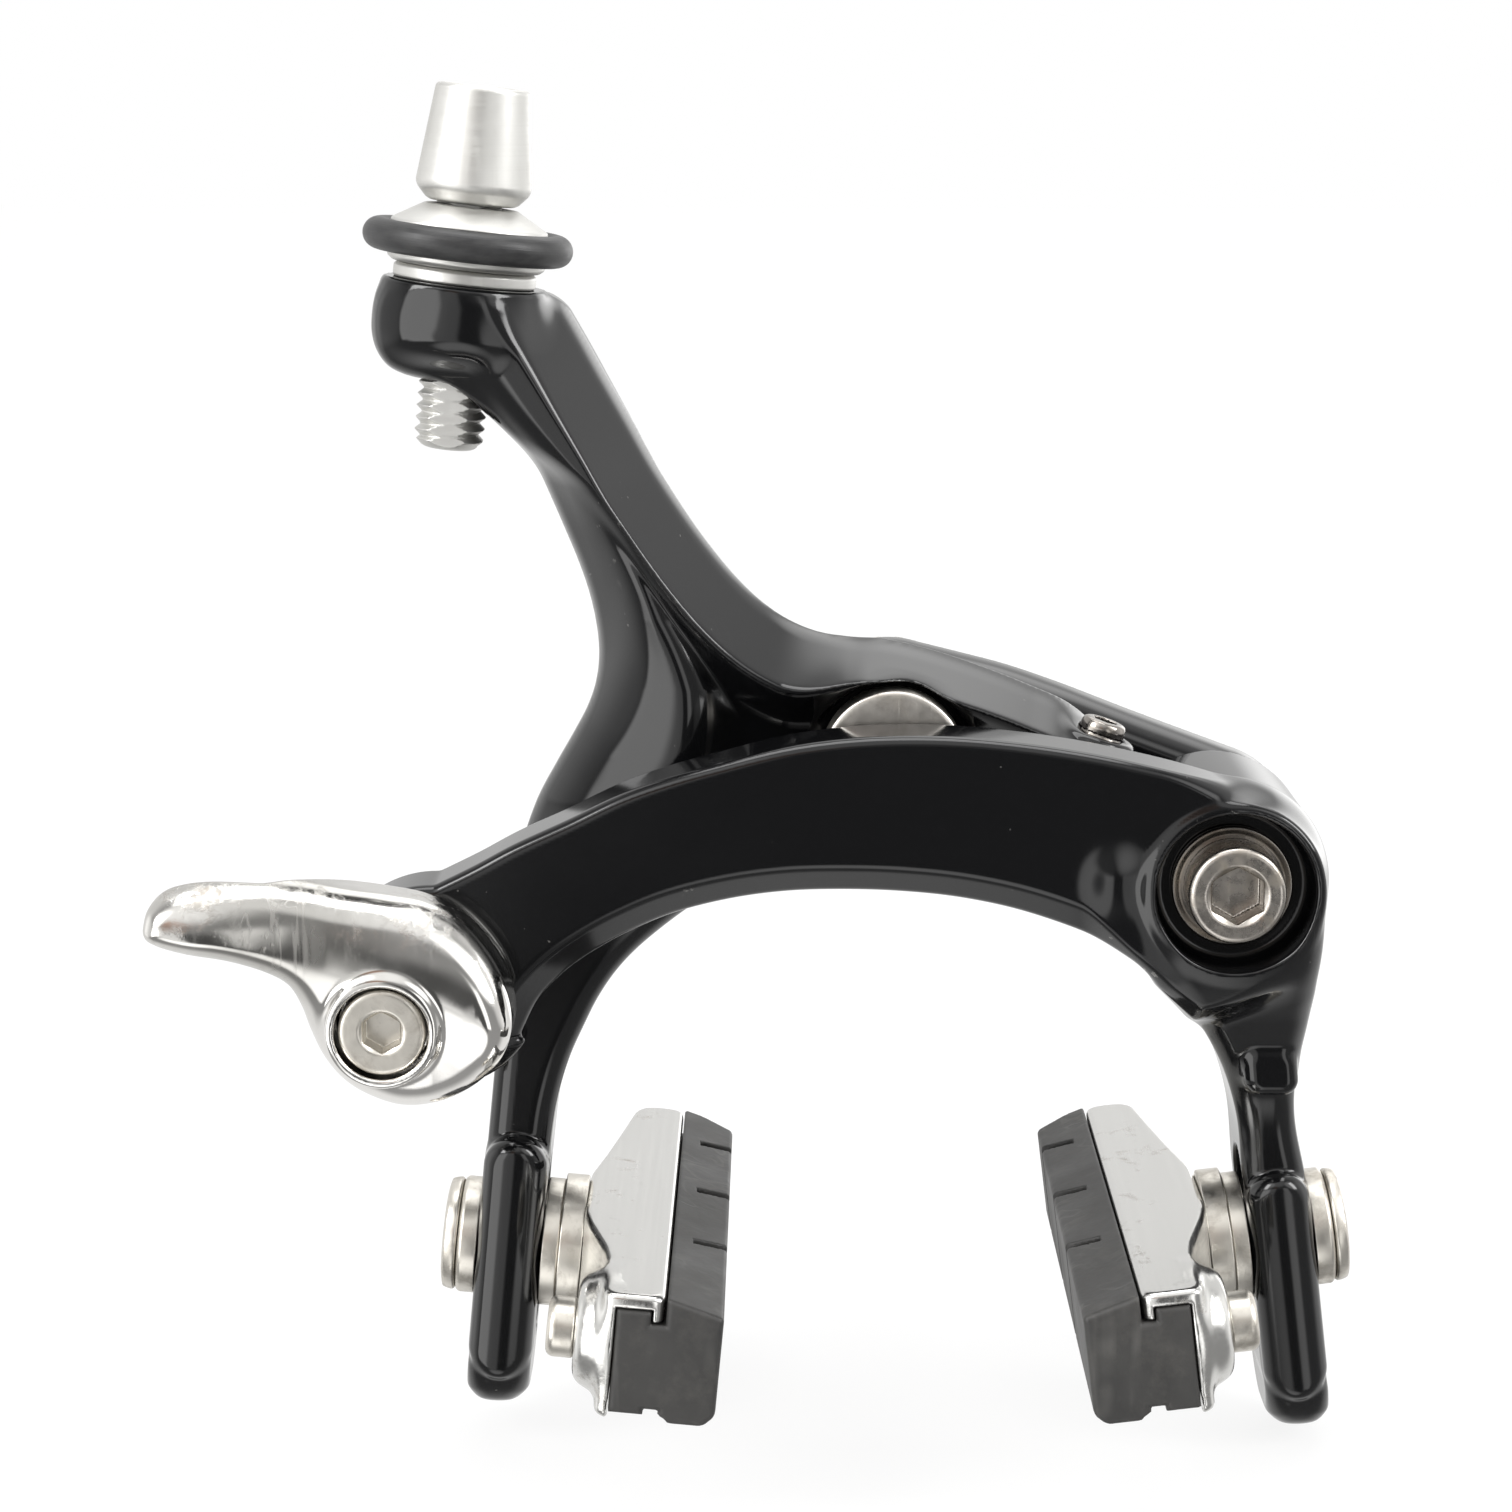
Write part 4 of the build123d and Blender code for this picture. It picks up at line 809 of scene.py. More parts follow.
LEFT_LEG_SIDE = Field(leg_side(
    front=[(-24.0, 60.0), (-24.0, 12.0), (-23.0, 3.0), (-19.6, -6.0), (-17.4, -14.0),
           (-17.0, -22.0), (-17.0, -29.0), (-17.3, -35.0), (-17.9, -40.0), (-18.2, -47.0),
           (-18.6, -52.8)],
    back=[(-6.4, -52.8), (-6.4, -40.0), (-6.4, -32.0), (-7.6, -26.0), (-8.7, -20.0),
          (-8.7, 0.0), (-8.7, 20.0), (-8.0, 27.0), (-6.4, 34.0), (-6.2, 60.0)],
    tip_z=-52.8))
# distance of the left-hand ridge from the left edge, by height
RIDGE_Z = [-10.0, 0.0, 6.0, 12.0, 18.0, 24.0, 30.0, 42.0]
RIDGE_INSET = [10.0, 9.6, 8.4, 6.2, 4.8, 4.0, 3.6, 3.4]


def adjuster_arm_front(x, z):
    """How far ahead the front lies: a broad bevel up to a rounded crest, a hollow inside."""
    right, left = RIGHT_EDGE(x, z), LEFT_EDGE(x, z)
    # right-hand bevel, tight over the hub; the crest widens into a land below the adjuster
    land = 0.15 + 3.3 * ramp(z, 17.0, 36.0)
    bevel = 4.4 - 1.9 * ramp(x, -10.0, -2.0)
    crest = 19.1 - 1.2 * ramp(x, -2.0, 14.0)
    soft = 0.8 + 1.4 * ramp(z, 24.0, 38.0)
    right_part = soft_min(crest - 0.20 * (right - bevel),
                          crest - 0.1 - 1.15 * (right - bevel - 0.1 - land), soft)
    # left-hand side: a steep edge, a slope that faces left, and the ridge it ends in
    ridge = np.interp(z, RIDGE_Z, RIDGE_INSET)
    top = 18.5 - 0.7 * ramp(z, 14.0, 30.0)
    short = ridge - left
    left_part = soft_min(top - 0.12 * short - 0.38 * np.clip(short, 0.0, 12.0) ** 2 / ridge,
                         top - (left - ridge), 1.4)
    front = soft_max(right_part, left_part, 0.5)
    front = soft_max(front, 15.4, 2.0)
    front = soft_min(front, 10.0 + (crest - 10.0) / bevel * right, soft)
    high = ramp(z, 18.0, 27.0)
    edge = 12.2 - 1.6 * high + (1.55 + 0.9 * high) * left + 6.2 * ramp(z, 23.0, 29.0)
    front = soft_min(front, edge, 2.4 - 0.9 * high)
    # no relief on the leg
    leg = ramp(-z, 4.0, 12.0)
    return front * (1 - leg) + 25.0 * leg


def adjuster_arm(x, y, z):
    ahead = -y
    solid = meet(ADJUSTER_ARM(x, z), (ahead - adjuster_arm_front(x, z)) * 0.5, 0.9)
    solid = meet(solid, LEFT_LEG_SIDE(y, z), 0.9 + 1.1 * ramp(-z, 3.0, 14.0))
    solid = meet(solid, 6.3 - ahead, 1.2)
    # adjuster boss
    along, radius, _ = adjuster_local(x, y, z)
    solid = meet(solid, along + 3.6, 1.5)
    boss = meet(radius - 6.85, -9.5 - along, 2.0)
    boss = meet(boss, along + 3.4, 0.45)
    solid = maximum(soft_min(solid, boss, 1.6), along + 3.4)
    inwards, upwards = strap_local("left", x, z)
    solid = add_strap_land(solid, inwards, upwards, ahead, centre=-0.1, half_length=10.9)
    # boss of the centring screw
    u, v = bridge_local(x, z)
    from_screw = hypot(u - SCREW_U, y - AXIS_Y)
    boss = meet(from_screw - 3.2, np.abs(v - 4.7) - 2.3, 0.6)
    solid = soft_min(solid, boss, 1.4)
    # hub pocket, pivot bore, adjuster bore, screw bore, slot
    pocket = meet(disc(x, z, 0, 0, 6.7), 15.3 - ahead, 0.8)
    solid = soft_max(solid, -pocket, 0.9)
    solid = drill(solid, disc(x, z, 0, 0, 4.25))
    solid = cut(solid, maximum(radius - 3.06, along - 1.0), 0.4)
    solid = drill(solid, maximum(from_screw - 2.02, 0.5 - v))
    solid = cut_strap_slot(solid, inwards, upwards, y)
    # seat of the spring shoe
    return drill(solid, maximum(disc(x, z, -31.6, -22.8, 2.5), ahead - 8.02))


build("adjuster_arm_body", "y_arm", adjuster_arm, (-44.5, -20.6, -60.2), (20.5, -5.6, 41.5),
      0.25, BLACK)

# ---- bridge ---------------------------------------------------------------
V_DEGREES = math.degrees(math.atan2(VZ, VX))
UPPER_UV = [(0, 8.2), (4, 8.5), (8, 8.75), (13, 8.7), (20, 8.35), (SPAN, 8.0)]
LOWER_UV = [(SPAN, -8.0), (26, -7.4), (20, -6.3), (12, -6.2), (5, -7.4), (0, -8.2)]
BRIDGE = Field(np.vstack([
    curve([bridge_point(*point) for point in UPPER_UV], 20),
    arc((SIDE_X, SIDE_Z), 8.0, V_DEGREES, V_DEGREES - 180, 70),
    curve([bridge_point(*point) for point in LOWER_UV], 20),
    arc((0, 0), 8.2, V_DEGREES - 180, V_DEGREES - 360, 70)]))
EAR = Field([(-4.6, -3.5), (-9.2, -8.0), (-9.4, -12.0), (-8.4, -12.9), (-5.8, -12.9),
             (-4.6, -12.2), (-0.6, -7.2)], soft=1.0)
SPRING_START = (-4.6, -4.7, -9.4)


def bridge(x, y, z):
    ahead = -y
    solid = meet(meet(BRIDGE(x, z), (ahead - 8.0) * 0.45, 2.2), 1.5 - ahead, 0.8)
    u, v = bridge_local(x, z)
    pocket = rounded_box(u - 15.2, v - 0.6, 5.25, 2.8, 2.75)
    solid = cut(solid, maximum(pocket, ahead - 4.5), 0.4)
    ear = meet(meet(EAR(x, z), ahead - 7.4, 0.5), 2.2 - ahead, 0.5)
    solid = soft_min(solid, ear, 1.0)
    solid = drill(solid, disc(x, z, 0, 0, 3.05))
    solid = drill(solid, disc(x, z, SIDE_X, SIDE_Z, 2.52))
    # socket of the spring
    axis = np.array([-1.0, 0.0, -0.3]) / math.hypot(1, 0.3)
    dx, dy, dz = x - SPRING_START[0], y - SPRING_START[1], z - SPRING_START[2]
    along = dx * axis[0] + dz * axis[2]
    radius = np.sqrt(maximum(dx ** 2 + dy ** 2 + dz ** 2 - along ** 2, 0))
    return drill(solid, maximum(radius - 1.0, -along))


build("bridge_body", "bracket", bridge, (-10.0, -8.2, -18.0), (36.8, -1.3, 9.2), 0.30, BLACK)

# ---- quick release --------------------------------------------------------
lever_outline = curve([
    (-60.9, -11.6), (-60.5, -9.9), (-59.2, -8.5), (-56.6, -7.6), (-53.9, -7.3), (-51.1, -7.2),
    (-48.0, -7.5), (-44.9, -8.0), (-41.4, -8.5), (-38.6, -9.1), (-36.4, -10.2), (-34.5, -11.8),
    (-32.8, -14.0), (-31.7, -16.6), (-31.4, -19.2), (-32.2, -21.8), (-33.8, -23.8),
    (-35.8, -25.4), (-38.2, -26.5), (-40.8, -26.8), (-43.2, -26.1), (-45.4, -24.7),
    (-47.1, -22.5), (-48.1, -20.0), (-48.7, -17.8), (-49.6, -16.0), (-51.2, -15.0),
    (-54.0, -14.1), (-57.6, -13.5), (-59.6, -12.9), (-60.6, -12.3), (-60.9, -11.6)])
# the finger end is lifted a little
lever_outline[:, 1] += 0.9 * ramp(-lever_outline[:, 0], 44.0, 60.0)
LEVER = Field(lever_outline[:-1])
# a ridge runs from the finger tip to the cam
LEVER_RIDGE_X = [-61, -55, -50, -46, -42, -38, -34, -31]
LEVER_RIDGE_Z = [-10.9, -11.3, -12.1, -13.4, -14.6, -15.8, -17.6, -19.6]


def release_lever(x, y, z):
    ahead = -y
    finger = ramp(-x, 46.0, 58.0)
    neck = ramp(-x, 44.0, 52.0)
    # the front falls away on both sides of the ridge
    rise = z - np.interp(x, LEVER_RIDGE_X, LEVER_RIDGE_Z)
    above, below = maximum(rise, 0), maximum(-rise, 0)
    fall = ((0.060 + 0.09 * finger) * above ** 2 / (1 + 0.05 * above)
            + (0.095 + 0.22 * finger) * below ** 2 / (1 + 0.22 * below))
    front = 35.3 + 1.7 * finger - fall
    back = 27.3 + 5.0 * neck + 0.6 * finger
    solid = meet(LEVER(x, z), (ahead - front) * 0.9, 2.3 - 0.5 * finger)
    solid = meet(solid, back - ahead, 1.0)
    drum = maximum(disc(x, z, CAM_X, CAM_Z, 6.5), 20.25 - ahead)
    solid = minimum(solid, maximum(drum, ahead - 28.5))
    # collar, counterbore and bore of the anchor bolt
    radius = hypot(x - ANCHOR_X, z - ANCHOR_Z)
    collar = meet(radius - 4.62, ahead - 35.7, 0.42)
    solid = soft_min(solid, maximum(collar, 29.0 - ahead), 0.9)
    solid = cut(solid, maximum(radius - 3.85, 32.2 - ahead), 0.25)
    return drill(solid, radius - 2.55)


build("release_lever_body", "qr_lever", release_lever, (-61.5, -38.4, -27.4),
      (-30.8, -20.0, -6.8), 0.22, CHROME)


# ---- bolts along Y --------------------------------------------------------
def socket_bolt(centre_x, centre_z, head_radius, front, under, end, key, depth, edge):
    """Bolt with a 2.5 shaft radius; front, under (the head) and end are distances ahead."""
    def solid(x, y, z):
        ahead = -y
        radius = hypot(x - centre_x, z - centre_z)
        head = maximum(meet(radius - head_radius, ahead - front, edge), under - ahead)
        shaft = meet(maximum(radius - 2.5, ahead - under - 0.5), end - ahead, 0.4)
        floor_gap = front - depth - ahead
        socket = maximum(hexagon(x - centre_x, z - centre_z, key / 2), floor_gap)
        cone = (radius - key * 0.62 + (front - ahead) * 1.2) * 0.7
        return cut(cut(minimum(head, shaft), socket, 0.08), maximum(cone, floor_gap), 0.05)
    return solid


build("anchor_bolt_body", "anchor_bolt",
      socket_bolt(ANCHOR_X, ANCHOR_Z, head_radius=3.6, front=35.3, under=32.25, end=16.8,
                  key=3.0, depth=2.0, edge=0.5),
      (ANCHOR_X - 3.8, -36.0, ANCHOR_Z - 3.8), (ANCHOR_X + 3.8, -16.6, ANCHOR_Z + 3.8),
      0.15, PAD_STEEL)
# the darker tint of this bolt's steel is painted shade
build("side_pivot_bolt_body", "side_pivot_bolt",
      socket_bolt(SIDE_X, SIDE_Z, head_radius=4.05, front=28.3, under=24.2, end=2.2,
                  key=4.2, depth=2.8, edge=0.55),
      (SIDE_X - 4.2, -28.5, SIDE_Z - 4.2), (SIDE_X + 4.2, -2.0, SIDE_Z + 4.2),
      0.16, SHADED_HEAD_STEEL)


def centre_bolt(x, y, z):
    ahead = -y
    radius = hypot(x, z)
    head = maximum(meet(radius - 6.1, ahead - 18.9, 0.55), 15.4 - ahead)
    shaft = meet(maximum(radius - 3.0, ahead - 15.8), -15.0 - ahead, 0.5)
    socket = maximum(hexagon(z, x, 2.5), 16.3 - ahead)
    solid = cut(minimum(head, shaft), socket, 0.1)
    solid = soft_max(solid, ahead - 18.95 + radius * radius * 0.006, 0.2)
    # M6 thread behind the mounting face, crest at the nominal radius
    wave = thread_wave(ahead, np.arctan2(z, x))
    thread = 3.0 - 0.42 * (1 - wave) * ramp(-ahead, 0.3, 1.6)
    return np.where(ahead < 0.2, maximum(solid, (radius - thread) * 0.8), solid)


build("mounting_bolt_body", "centre_bolt", centre_bolt, (-6.3, -19.1, -6.3), (6.3, 15.2, 6.3),
      0.14, STEEL)

CLAMP_PLATE = Field([(-46.8, -14.2), (-37.6, -14.2), (-35.9, -20.0), (-35.9, -28.4),
                     (-42.5, -28.4), (-46.8, -22.5)], soft=3.0)


def clamp_plate(x, y, z):
    ahead = -y
    solid = meet(meet(CLAMP_PLATE(x, z), ahead - 20.15, 0.4), 17.35 - ahead, 0.4)
    # groove across the front, parallel to the adjuster axis
    across = (x - ANCHOR_X + 3.9) * ADJUSTER_AXIS[2] - (z - ANCHOR_Z) * ADJUSTER_AXIS[0]
    solid = cut(solid, hypot(across, ahead - 20.35) - 0.8, 0.15)
    return drill(solid, disc(x, z, ANCHOR_X, ANCHOR_Z, 2.52))


build("clamp_plate_body", "clamp_plate", clamp_plate, (-47.2, -20.4, -28.8),
      (-35.5, -17.1, -13.8), 0.2, PLATE)

# ---- adjuster -------------------------------------------------------------
lathe("grip_nut_body", "adjuster_nut",
      [(3.01, -2.05), (6.2, -2.05), (6.62, -1.7), (6.62, -1.1), (6.35, -0.75), (6.22, 0),
       (6.35, 0.75), (6.62, 1.1), (6.55, 1.42), (3.9, 2.95), (3.01, 3.0)],
      ADJUSTER_CENTRE, ADJUSTER_AXIS, TURNED, corner=0.15)
ring_angle = np.linspace(0, 2 * math.pi, 40, endpoint=False)
lathe("grip_ring_body", "adjuster_o_ring",
      np.stack([7.5 + 1.33 * np.cos(ring_angle), 1.33 * np.sin(ring_angle)], 1),
      ADJUSTER_CENTRE, ADJUSTER_AXIS, GRIP, corner=0.0001)
lathe("adjuster_seat_body", "adjuster_seat",
      [(3.3, -3.38), (5.9, -3.38), (6.0, -3.2), (6.0, -2.4), (5.7, -2.12), (3.3, -2.12)],
      ADJUSTER_CENTRE, ADJUSTER_AXIS, TURNED, corner=0.12)


def barrel(x, y, z):
    along, radius, offset = adjuster_local(x, y, z)
    depth = y - AXIS_Y
    # threaded tube with two flats
    crest = 2.98 - 0.55 * thread_wave(along, -np.arctan2(depth, offset))
    tube = maximum((radius - crest) * 0.85, along - 3.6)
    tube = maximum(tube, (radius - 2.62) * 0.6 + (-16.9 - along) * 0.6)
    tube = maximum(meet(tube, -17.4 - along, 0.25), np.abs(depth) - 2.42)
    # tapered cap
    cap = (radius - (4.83 - (along - 4.9) * 0.115)) * 0.99
    cap = meet(cap, (radius - 3.72 - (along - 3.2) * 0.92) * 0.74, 0.35)
    cap = meet(meet(cap, along - 12.9, 0.4), 3.2 - along, 0.3)
    solid = cut(minimum(tube, cap), maximum(radius - 2.7, 4.6 - along), 0.3)
    return drill(solid, radius - 0.9)


build("adjuster_barrel_body", "adjuster_barrel", barrel, (-42.8, -18.0, 25.4),
      (-29.3, -8.0, 56.8), 0.15, TURNED, probe=0.06)

# ---- washers and bushes on the pivots -------------------------------------
SIDE_PIVOT, CENTRE_PIVOT = (SIDE_X, 0, SIDE_Z), (0, 0, 0)
# the dark tint of this washer's steel is painted shade inside the side pivot recess
lathe("side_washer_body", "side_pivot_washer",
      [(2.6, 23.56), (4.9, 23.56), (5.1, 23.75), (5.1, 24.3), (4.9, 24.45), (4.4, 24.2),
       (2.6, 24.2)], SIDE_PIVOT, FORWARD, SHADE_AND_GRIME_STEEL, corner=0.12)
# name, CAD node, pivot, inner and outer radius, back and front distance ahead, material
for name, node, pivot, inner, outer, back, front, material in (
        ("side_bush_body", "side_bush", SIDE_PIVOT, 2.52, 3.7, 8.01, 23.54, BRONZE),
        ("centre_bush_body", "centre_bush", CENTRE_PIVOT, 3.01, 4.2, 8.6, 15.39, BRONZE),
        ("thrust_washer_body", "centre_thrust_washer", CENTRE_PIVOT, 3.05, 7.4, 8.01, 8.59,
         PLASTIC)):
    lathe(name, node, [(inner, back), (outer, back), (outer, front), (inner, front)],
          pivot, FORWARD, material, corner=0.1)

NOTCHES = 24


def toothed_washer(x, y, z):
    ahead = -y
    radius = hypot(x, z)
    solid = meet(meet(meet(radius - 7.9, ahead - 1.48, 0.3), 3.1 - radius, 0.1), -ahead, 0.08)
    phase = (np.arctan2(z, x) / (2 * math.pi) * NOTCHES) % 1.0
    width = np.abs(phase - 0.5) * 2 * math.pi * radius / NOTCHES
    notches = maximum(maximum(0.42 - width, 5.7 - radius), ahead - 0.45)
    return cut(solid, notches, 0.06)


build("toothed_washer_body", "mount_washer", toothed_washer, (-8.1, -1.6, -8.1),
      (8.1, 0.1, 8.1), 0.13, STEEL)


# ---- centring screw, spring and shoe --------------------------------------
def centring_screw(x, y, z):
    """Grub screw along v, with a ball tip below."""
    u, v = bridge_local(x, z)
    u, depth = u - SCREW_U, y - AXIS_Y
    radius = hypot(u, depth)
    wave = thread_wave(v, np.arctan2(depth, u), pitch=0.7)
    solid = maximum((radius - 1.98 + 0.16 * wave * (v < 7.2)) * 0.85, v - 8.3)
    solid = meet(solid, radius - 1.98 + (v - 8.0) * 0.8, 0.3)
    tip = np.sqrt(radius ** 2 + (v - 1.62) ** 2) - 1.5
    solid = maximum(solid, np.where(v < 1.62, tip, radius - 1.5 - (v - 1.62) * 0.8))
    return drill(solid, maximum(hexagon(u, depth, 1.0), 6.4 - v))


build("centring_screw_body", "centring_screw", centring_screw, (13.5, -15.3, -6.4),
      (21.2, -10.7, 5.4), 0.13, SHADE_AND_GRIME_STEEL, probe=0.06)

SPRING_PATH = curve([SPRING_START, (-9.6, -4.7, -11.0), (-16.0, -4.9, -13.2),
                     (-23.4, -5.2, -17.2), (-27.4, -5.3, -21.6), (-28.3, -5.3, -24.8)], 16)
wire("return_spring_wire", "return_spring", SPRING_PATH, 0.85, STEEL)
lathe("spring_shoe_body", "spring_shoe",
      [(0.02, 4.0), (1.6, 4.0), (2.1, 4.5), (2.1, 8.0), (1.25, 8.0), (1.25, 11.5), (0.02, 11.5)],
      (-31.6, 0, -22.8), FORWARD, PLASTIC, corner=0.1)

# ---- pads: solids take (inwards, upwards) of the strap frame, and y --------
# holder section seen along the strap: (inwards, y from the pad bolt)
HOLDER = Field([(6.36, 5), (6.36, -6), (6.9, -9.0), (7.7, -12), (8.5, -15), (8.9, -18),
                (8.95, -26.4), (14.1, -26.4), (14.1, 26.8), (10.4, 26.8), (9.5, 25.4),
                (8.6, 19.0), (7.4, 11.0)], soft=3.0, step=0.2)
PAD_SCREW_Y = -21.0                    # pad screw from the pad bolt
# grooves across the rubber, from its middle
GROOVES_Y = (-9.5, 4.5, 18.5)
# washers on the pad bolt: (radius, inwards)
PAD_WASHERS = {
    "outer_washer": [(3.1, -HALF_STRAP - 0.08), (5.1, -HALF_STRAP - 0.08),
                     (5.1, -HALF_STRAP - 1.5), (4.8, -HALF_STRAP - 1.8),
                     (3.1, -HALF_STRAP - 1.8)],
    "convex_washer": [(3.1, HALF_STRAP + 0.08), (5.6, HALF_STRAP + 0.08),
                      (5.6, HALF_STRAP + 1.5), (5.2, HALF_STRAP + 1.9),
                      (4.4, HALF_STRAP + 2.25), (3.1, HALF_STRAP + 2.5)],
    "concave_washer": [(3.1, HALF_STRAP + 2.54), (4.4, HALF_STRAP + 2.3),
                       (5.25, HALF_STRAP + 1.95), (5.65, HALF_STRAP + 1.6),
                       (6.1, HALF_STRAP + 1.6), (6.1, HALF_STRAP + 3.6),
                       (3.1, HALF_STRAP + 3.6)],
}


def pad_holder(inwards, upwards, y):
    depth = y - AXIS_Y
    solid = HOLDER(inwards, depth)
    solid = meet(solid, upwards - 5.15, 0.55)
    solid = meet(solid, -5.7 - upwards, 0.8)
    from_screw = hypot(depth - PAD_SCREW_Y, upwards)
    boss = maximum(meet(from_screw - 4.7, 6.85 - inwards, 1.4), inwards - 9.5)
    solid = soft_min(solid, boss, 1.6)
    # channel for the rubber
    core = maximum(maximum(10.1 - inwards, inwards - 13.1), np.abs(upwards + 0.55) - 4.5)
    mouth = maximum(12.9 - inwards, maximum(upwards - 2.85, -(upwards + 4.6)))
    solid = cut(solid, minimum(core, mouth), 0.25)
    # the lower lip stops short of the front end
    solid = cut(solid, maximum(maximum(upwards + 4.3, 10.1 - inwards), depth + 19.0), 0.3)
    # holes for the pad bolt and the pad screw
    solid = drill(solid, maximum(hypot(depth, upwards) - 2.98, inwards - 9.72))
    return drill(solid, maximum(from_screw - 1.55, inwards - 10.2))


def pad_block(inwards, upwards, y):
    depth = y - RUBBER_Y
    tongue = maximum(maximum(10.15 - inwards, inwards - 13.0), np.abs(upwards + 0.55) - 4.45)
    neck = maximum(maximum(10.2 - inwards, inwards - 15.0),
                   maximum(upwards - 2.78, -(upwards + 4.5)))
    top = (upwards - 5.1 + (inwards - 14.2) * 0.27) * 0.965
    shoe = meet(meet(top, -(upwards + 5.55), 0.5), inwards - 18.9, 0.35)
    shoe = meet(shoe, 14.2 - inwards, 0.25)
    shoe = meet(shoe, (inwards - 18.9 - (upwards + 4.6)) * 0.7071, 0.3)
    solid = minimum(minimum(tongue, neck), shoe)
    solid = meet(solid, np.abs(depth) - 26.75, 0.5)
    # back end eased off, and a notch along the lower edge
    solid = meet(solid, (depth - 26.75 + (inwards - 16.0) * 0.5) * 0.9, 0.5)
    solid = cut(solid, hypot(inwards - 14.3, upwards + 5.7) - 0.75, 0.15)
    for groove in GROOVES_Y:
        offset = (depth + 0.25 - groove) - (inwards - 16.9) * 0.42
        solid = cut(solid, maximum(np.abs(offset) - 0.55, 15.9 - inwards), 0.12)
    return solid


def pad_bolt(inwards, upwards, y):
    depth = y - AXIS_Y
    radius = hypot(depth, upwards)
    outer = -(inwards + HALF_STRAP + 3.15)
    head = meet(radius - 4.95, outer, 0.3)
    head = meet(head, (radius - 4.95 + outer * 1.25) * 0.62, 0.9)
    head = meet(head, -(inwards + HALF_STRAP + 4.7), 0.5)
    head = meet(head, inwards + HALF_STRAP + 1.86, 0.3)
    shaft = maximum(meet(radius - 2.95, inwards - 9.6, 0.5), -(inwards + HALF_STRAP + 2.0))
    socket = maximum(hexagon(depth, upwards, 2.0), inwards + HALF_STRAP + 2.3)
    return cut(minimum(head, shaft), socket, 0.1)


def pad_screw(inwards, upwards, y):
    depth = y - AXIS_Y - PAD_SCREW_Y
    radius = hypot(depth, upwards)
    head = meet(meet(radius - 2.5, 4.5 - inwards, 0.7), inwards - 6.8, 0.2)
    shaft = maximum(radius - 1.5, maximum(6.0 - inwards, inwards - 9.9))
    socket = maximum(hexagon(depth, upwards, 1.0), inwards - 5.7)
    return cut(minimum(head, shaft), socket, 0.08)


def on_strap(side, solid):
    return lambda x, y, z: solid(*strap_local(side, x, z), y)


def pad_box(side, inwards, margin, y, z):
    """Box corners: inwards range widened by margin, y range, z range from the bolt."""
    bolt_x, bolt_z, inward, _ = STRAPS[side]
    ends = sorted(bolt_x + distance * inward[0] for distance in inwards)
    return (ends[0] - margin, y[0], bolt_z + z[0]), (ends[1] + margin, y[1], bolt_z + z[1])


def build_pad(side):
    bolt_x, bolt_z, inward, _ = STRAPS[side]
    low, high = pad_box(side, inwards=(0, 15.5), margin=1.5,
                        y=(AXIS_Y - 27.0, AXIS_Y + 27.4), z=(-10.5, 6.5))
    # the holder starts well inside the strap
    if side == "left":
        low = (bolt_x + 5.0, *low[1:])
    else:
        high = (bolt_x - 4.6, *high[1:])
    build(side + "_holder_body", side + "_pad_holder", on_strap(side, pad_holder), low, high,
          0.24, BRUSHED)
    build(side + "_rubber_body", side + "_pad_rubber", on_strap(side, pad_block),
          *pad_box(side, inwards=(9.4, 19.8), margin=1.2,
                   y=(RUBBER_Y - 27.2, RUBBER_Y + 27.2), z=(-9.6, 4.6)), 0.24, RUBBER)
    build(side + "_pad_bolt_body", side + "_pad_bolt", on_strap(side, pad_bolt),
          *pad_box(side, inwards=(-7.9, 10.2), margin=0.6,
                   y=(AXIS_Y - 5.2, AXIS_Y + 5.2), z=(-6.4, 6.0)), 0.16, PAD_STEEL)
    for washer, profile in PAD_WASHERS.items():
        lathe(f"{side}_{washer}_body", f"{side}_{washer}", profile, (bolt_x, AXIS_Y, bolt_z),
              (inward[0], 0.0, inward[1]), PAD_STEEL, corner=0.15)
    build(side + "_pad_screw_body", side + "_pad_screw", on_strap(side, pad_screw),
          *pad_box(side, inwards=(4.2, 10.2), margin=0.6,
                   y=(AXIS_Y - 23.8, AXIS_Y - 18.2), z=(-4.2, 2.4)), 0.13, PAD_STEEL)


for side in STRAPS:
    build_pad(side)

# ---- floor ----------------------------------------------------------------
FLOOR_Z = -61.4 * MM
FLOOR_HALF = 3.0                       # metres


def floor_material():
    """Matt white that mostly glows plain white to the camera."""
    m = Material("floor")
    m.set(Base_Color=m.mix(m.noise(scale=6.0, detail=2.0), (0.88, 0.88, 0.875),
                           (0.90, 0.90, 0.895)), Roughness=0.9)
    glow = m.new("ShaderNodeEmission")
    glow.inputs["Strength"].default_value = 1.0
    blend = m.new("ShaderNodeMixShader")
    camera_ray = m.new("ShaderNodeLightPath").outputs["Is Camera Ray"]
    glow_share = 0.86
    for i, value in enumerate((m.times(camera_ray, glow_share), m.shader.outputs[0],
                               glow.outputs[0])):
        m.feed(blend.inputs[i], value)
    m.feed(m.tree.nodes["Material Output"].inputs["Surface"], blend.outputs[0])
    return m.data


floor_mesh = bpy.data.meshes.new("floor")
floor_mesh.from_pydata([(x * FLOOR_HALF, y * FLOOR_HALF, FLOOR_Z)
                        for x, y in ((-1, -1), (1, -1), (1, 1), (-1, 1))], [], [(0, 1, 2, 3)])
floor = add_object("floor", floor_mesh)
floor_mesh.materials.append(floor_material())
floor.visible_glossy = False

# ---- world: a pale table behind, a dim room in front, windows and lamps ----
# azimuth from the camera's side towards +X, elevation, inner and outer radius
# (all degrees), strength
LAMPS = ((-50, 40, 10, 26, 1.6), (62, 36, 12, 28, 2.0), (-6, 58, 14, 36, 0.9),
         (-96, 0, 14, 34, 0.5), (96, 10, 10, 34, 0.5), (-12, -44, 7, 24, 1.5),
         (151, 4, 8, 20, 1.5), (164, 42, 8, 20, 1.3))
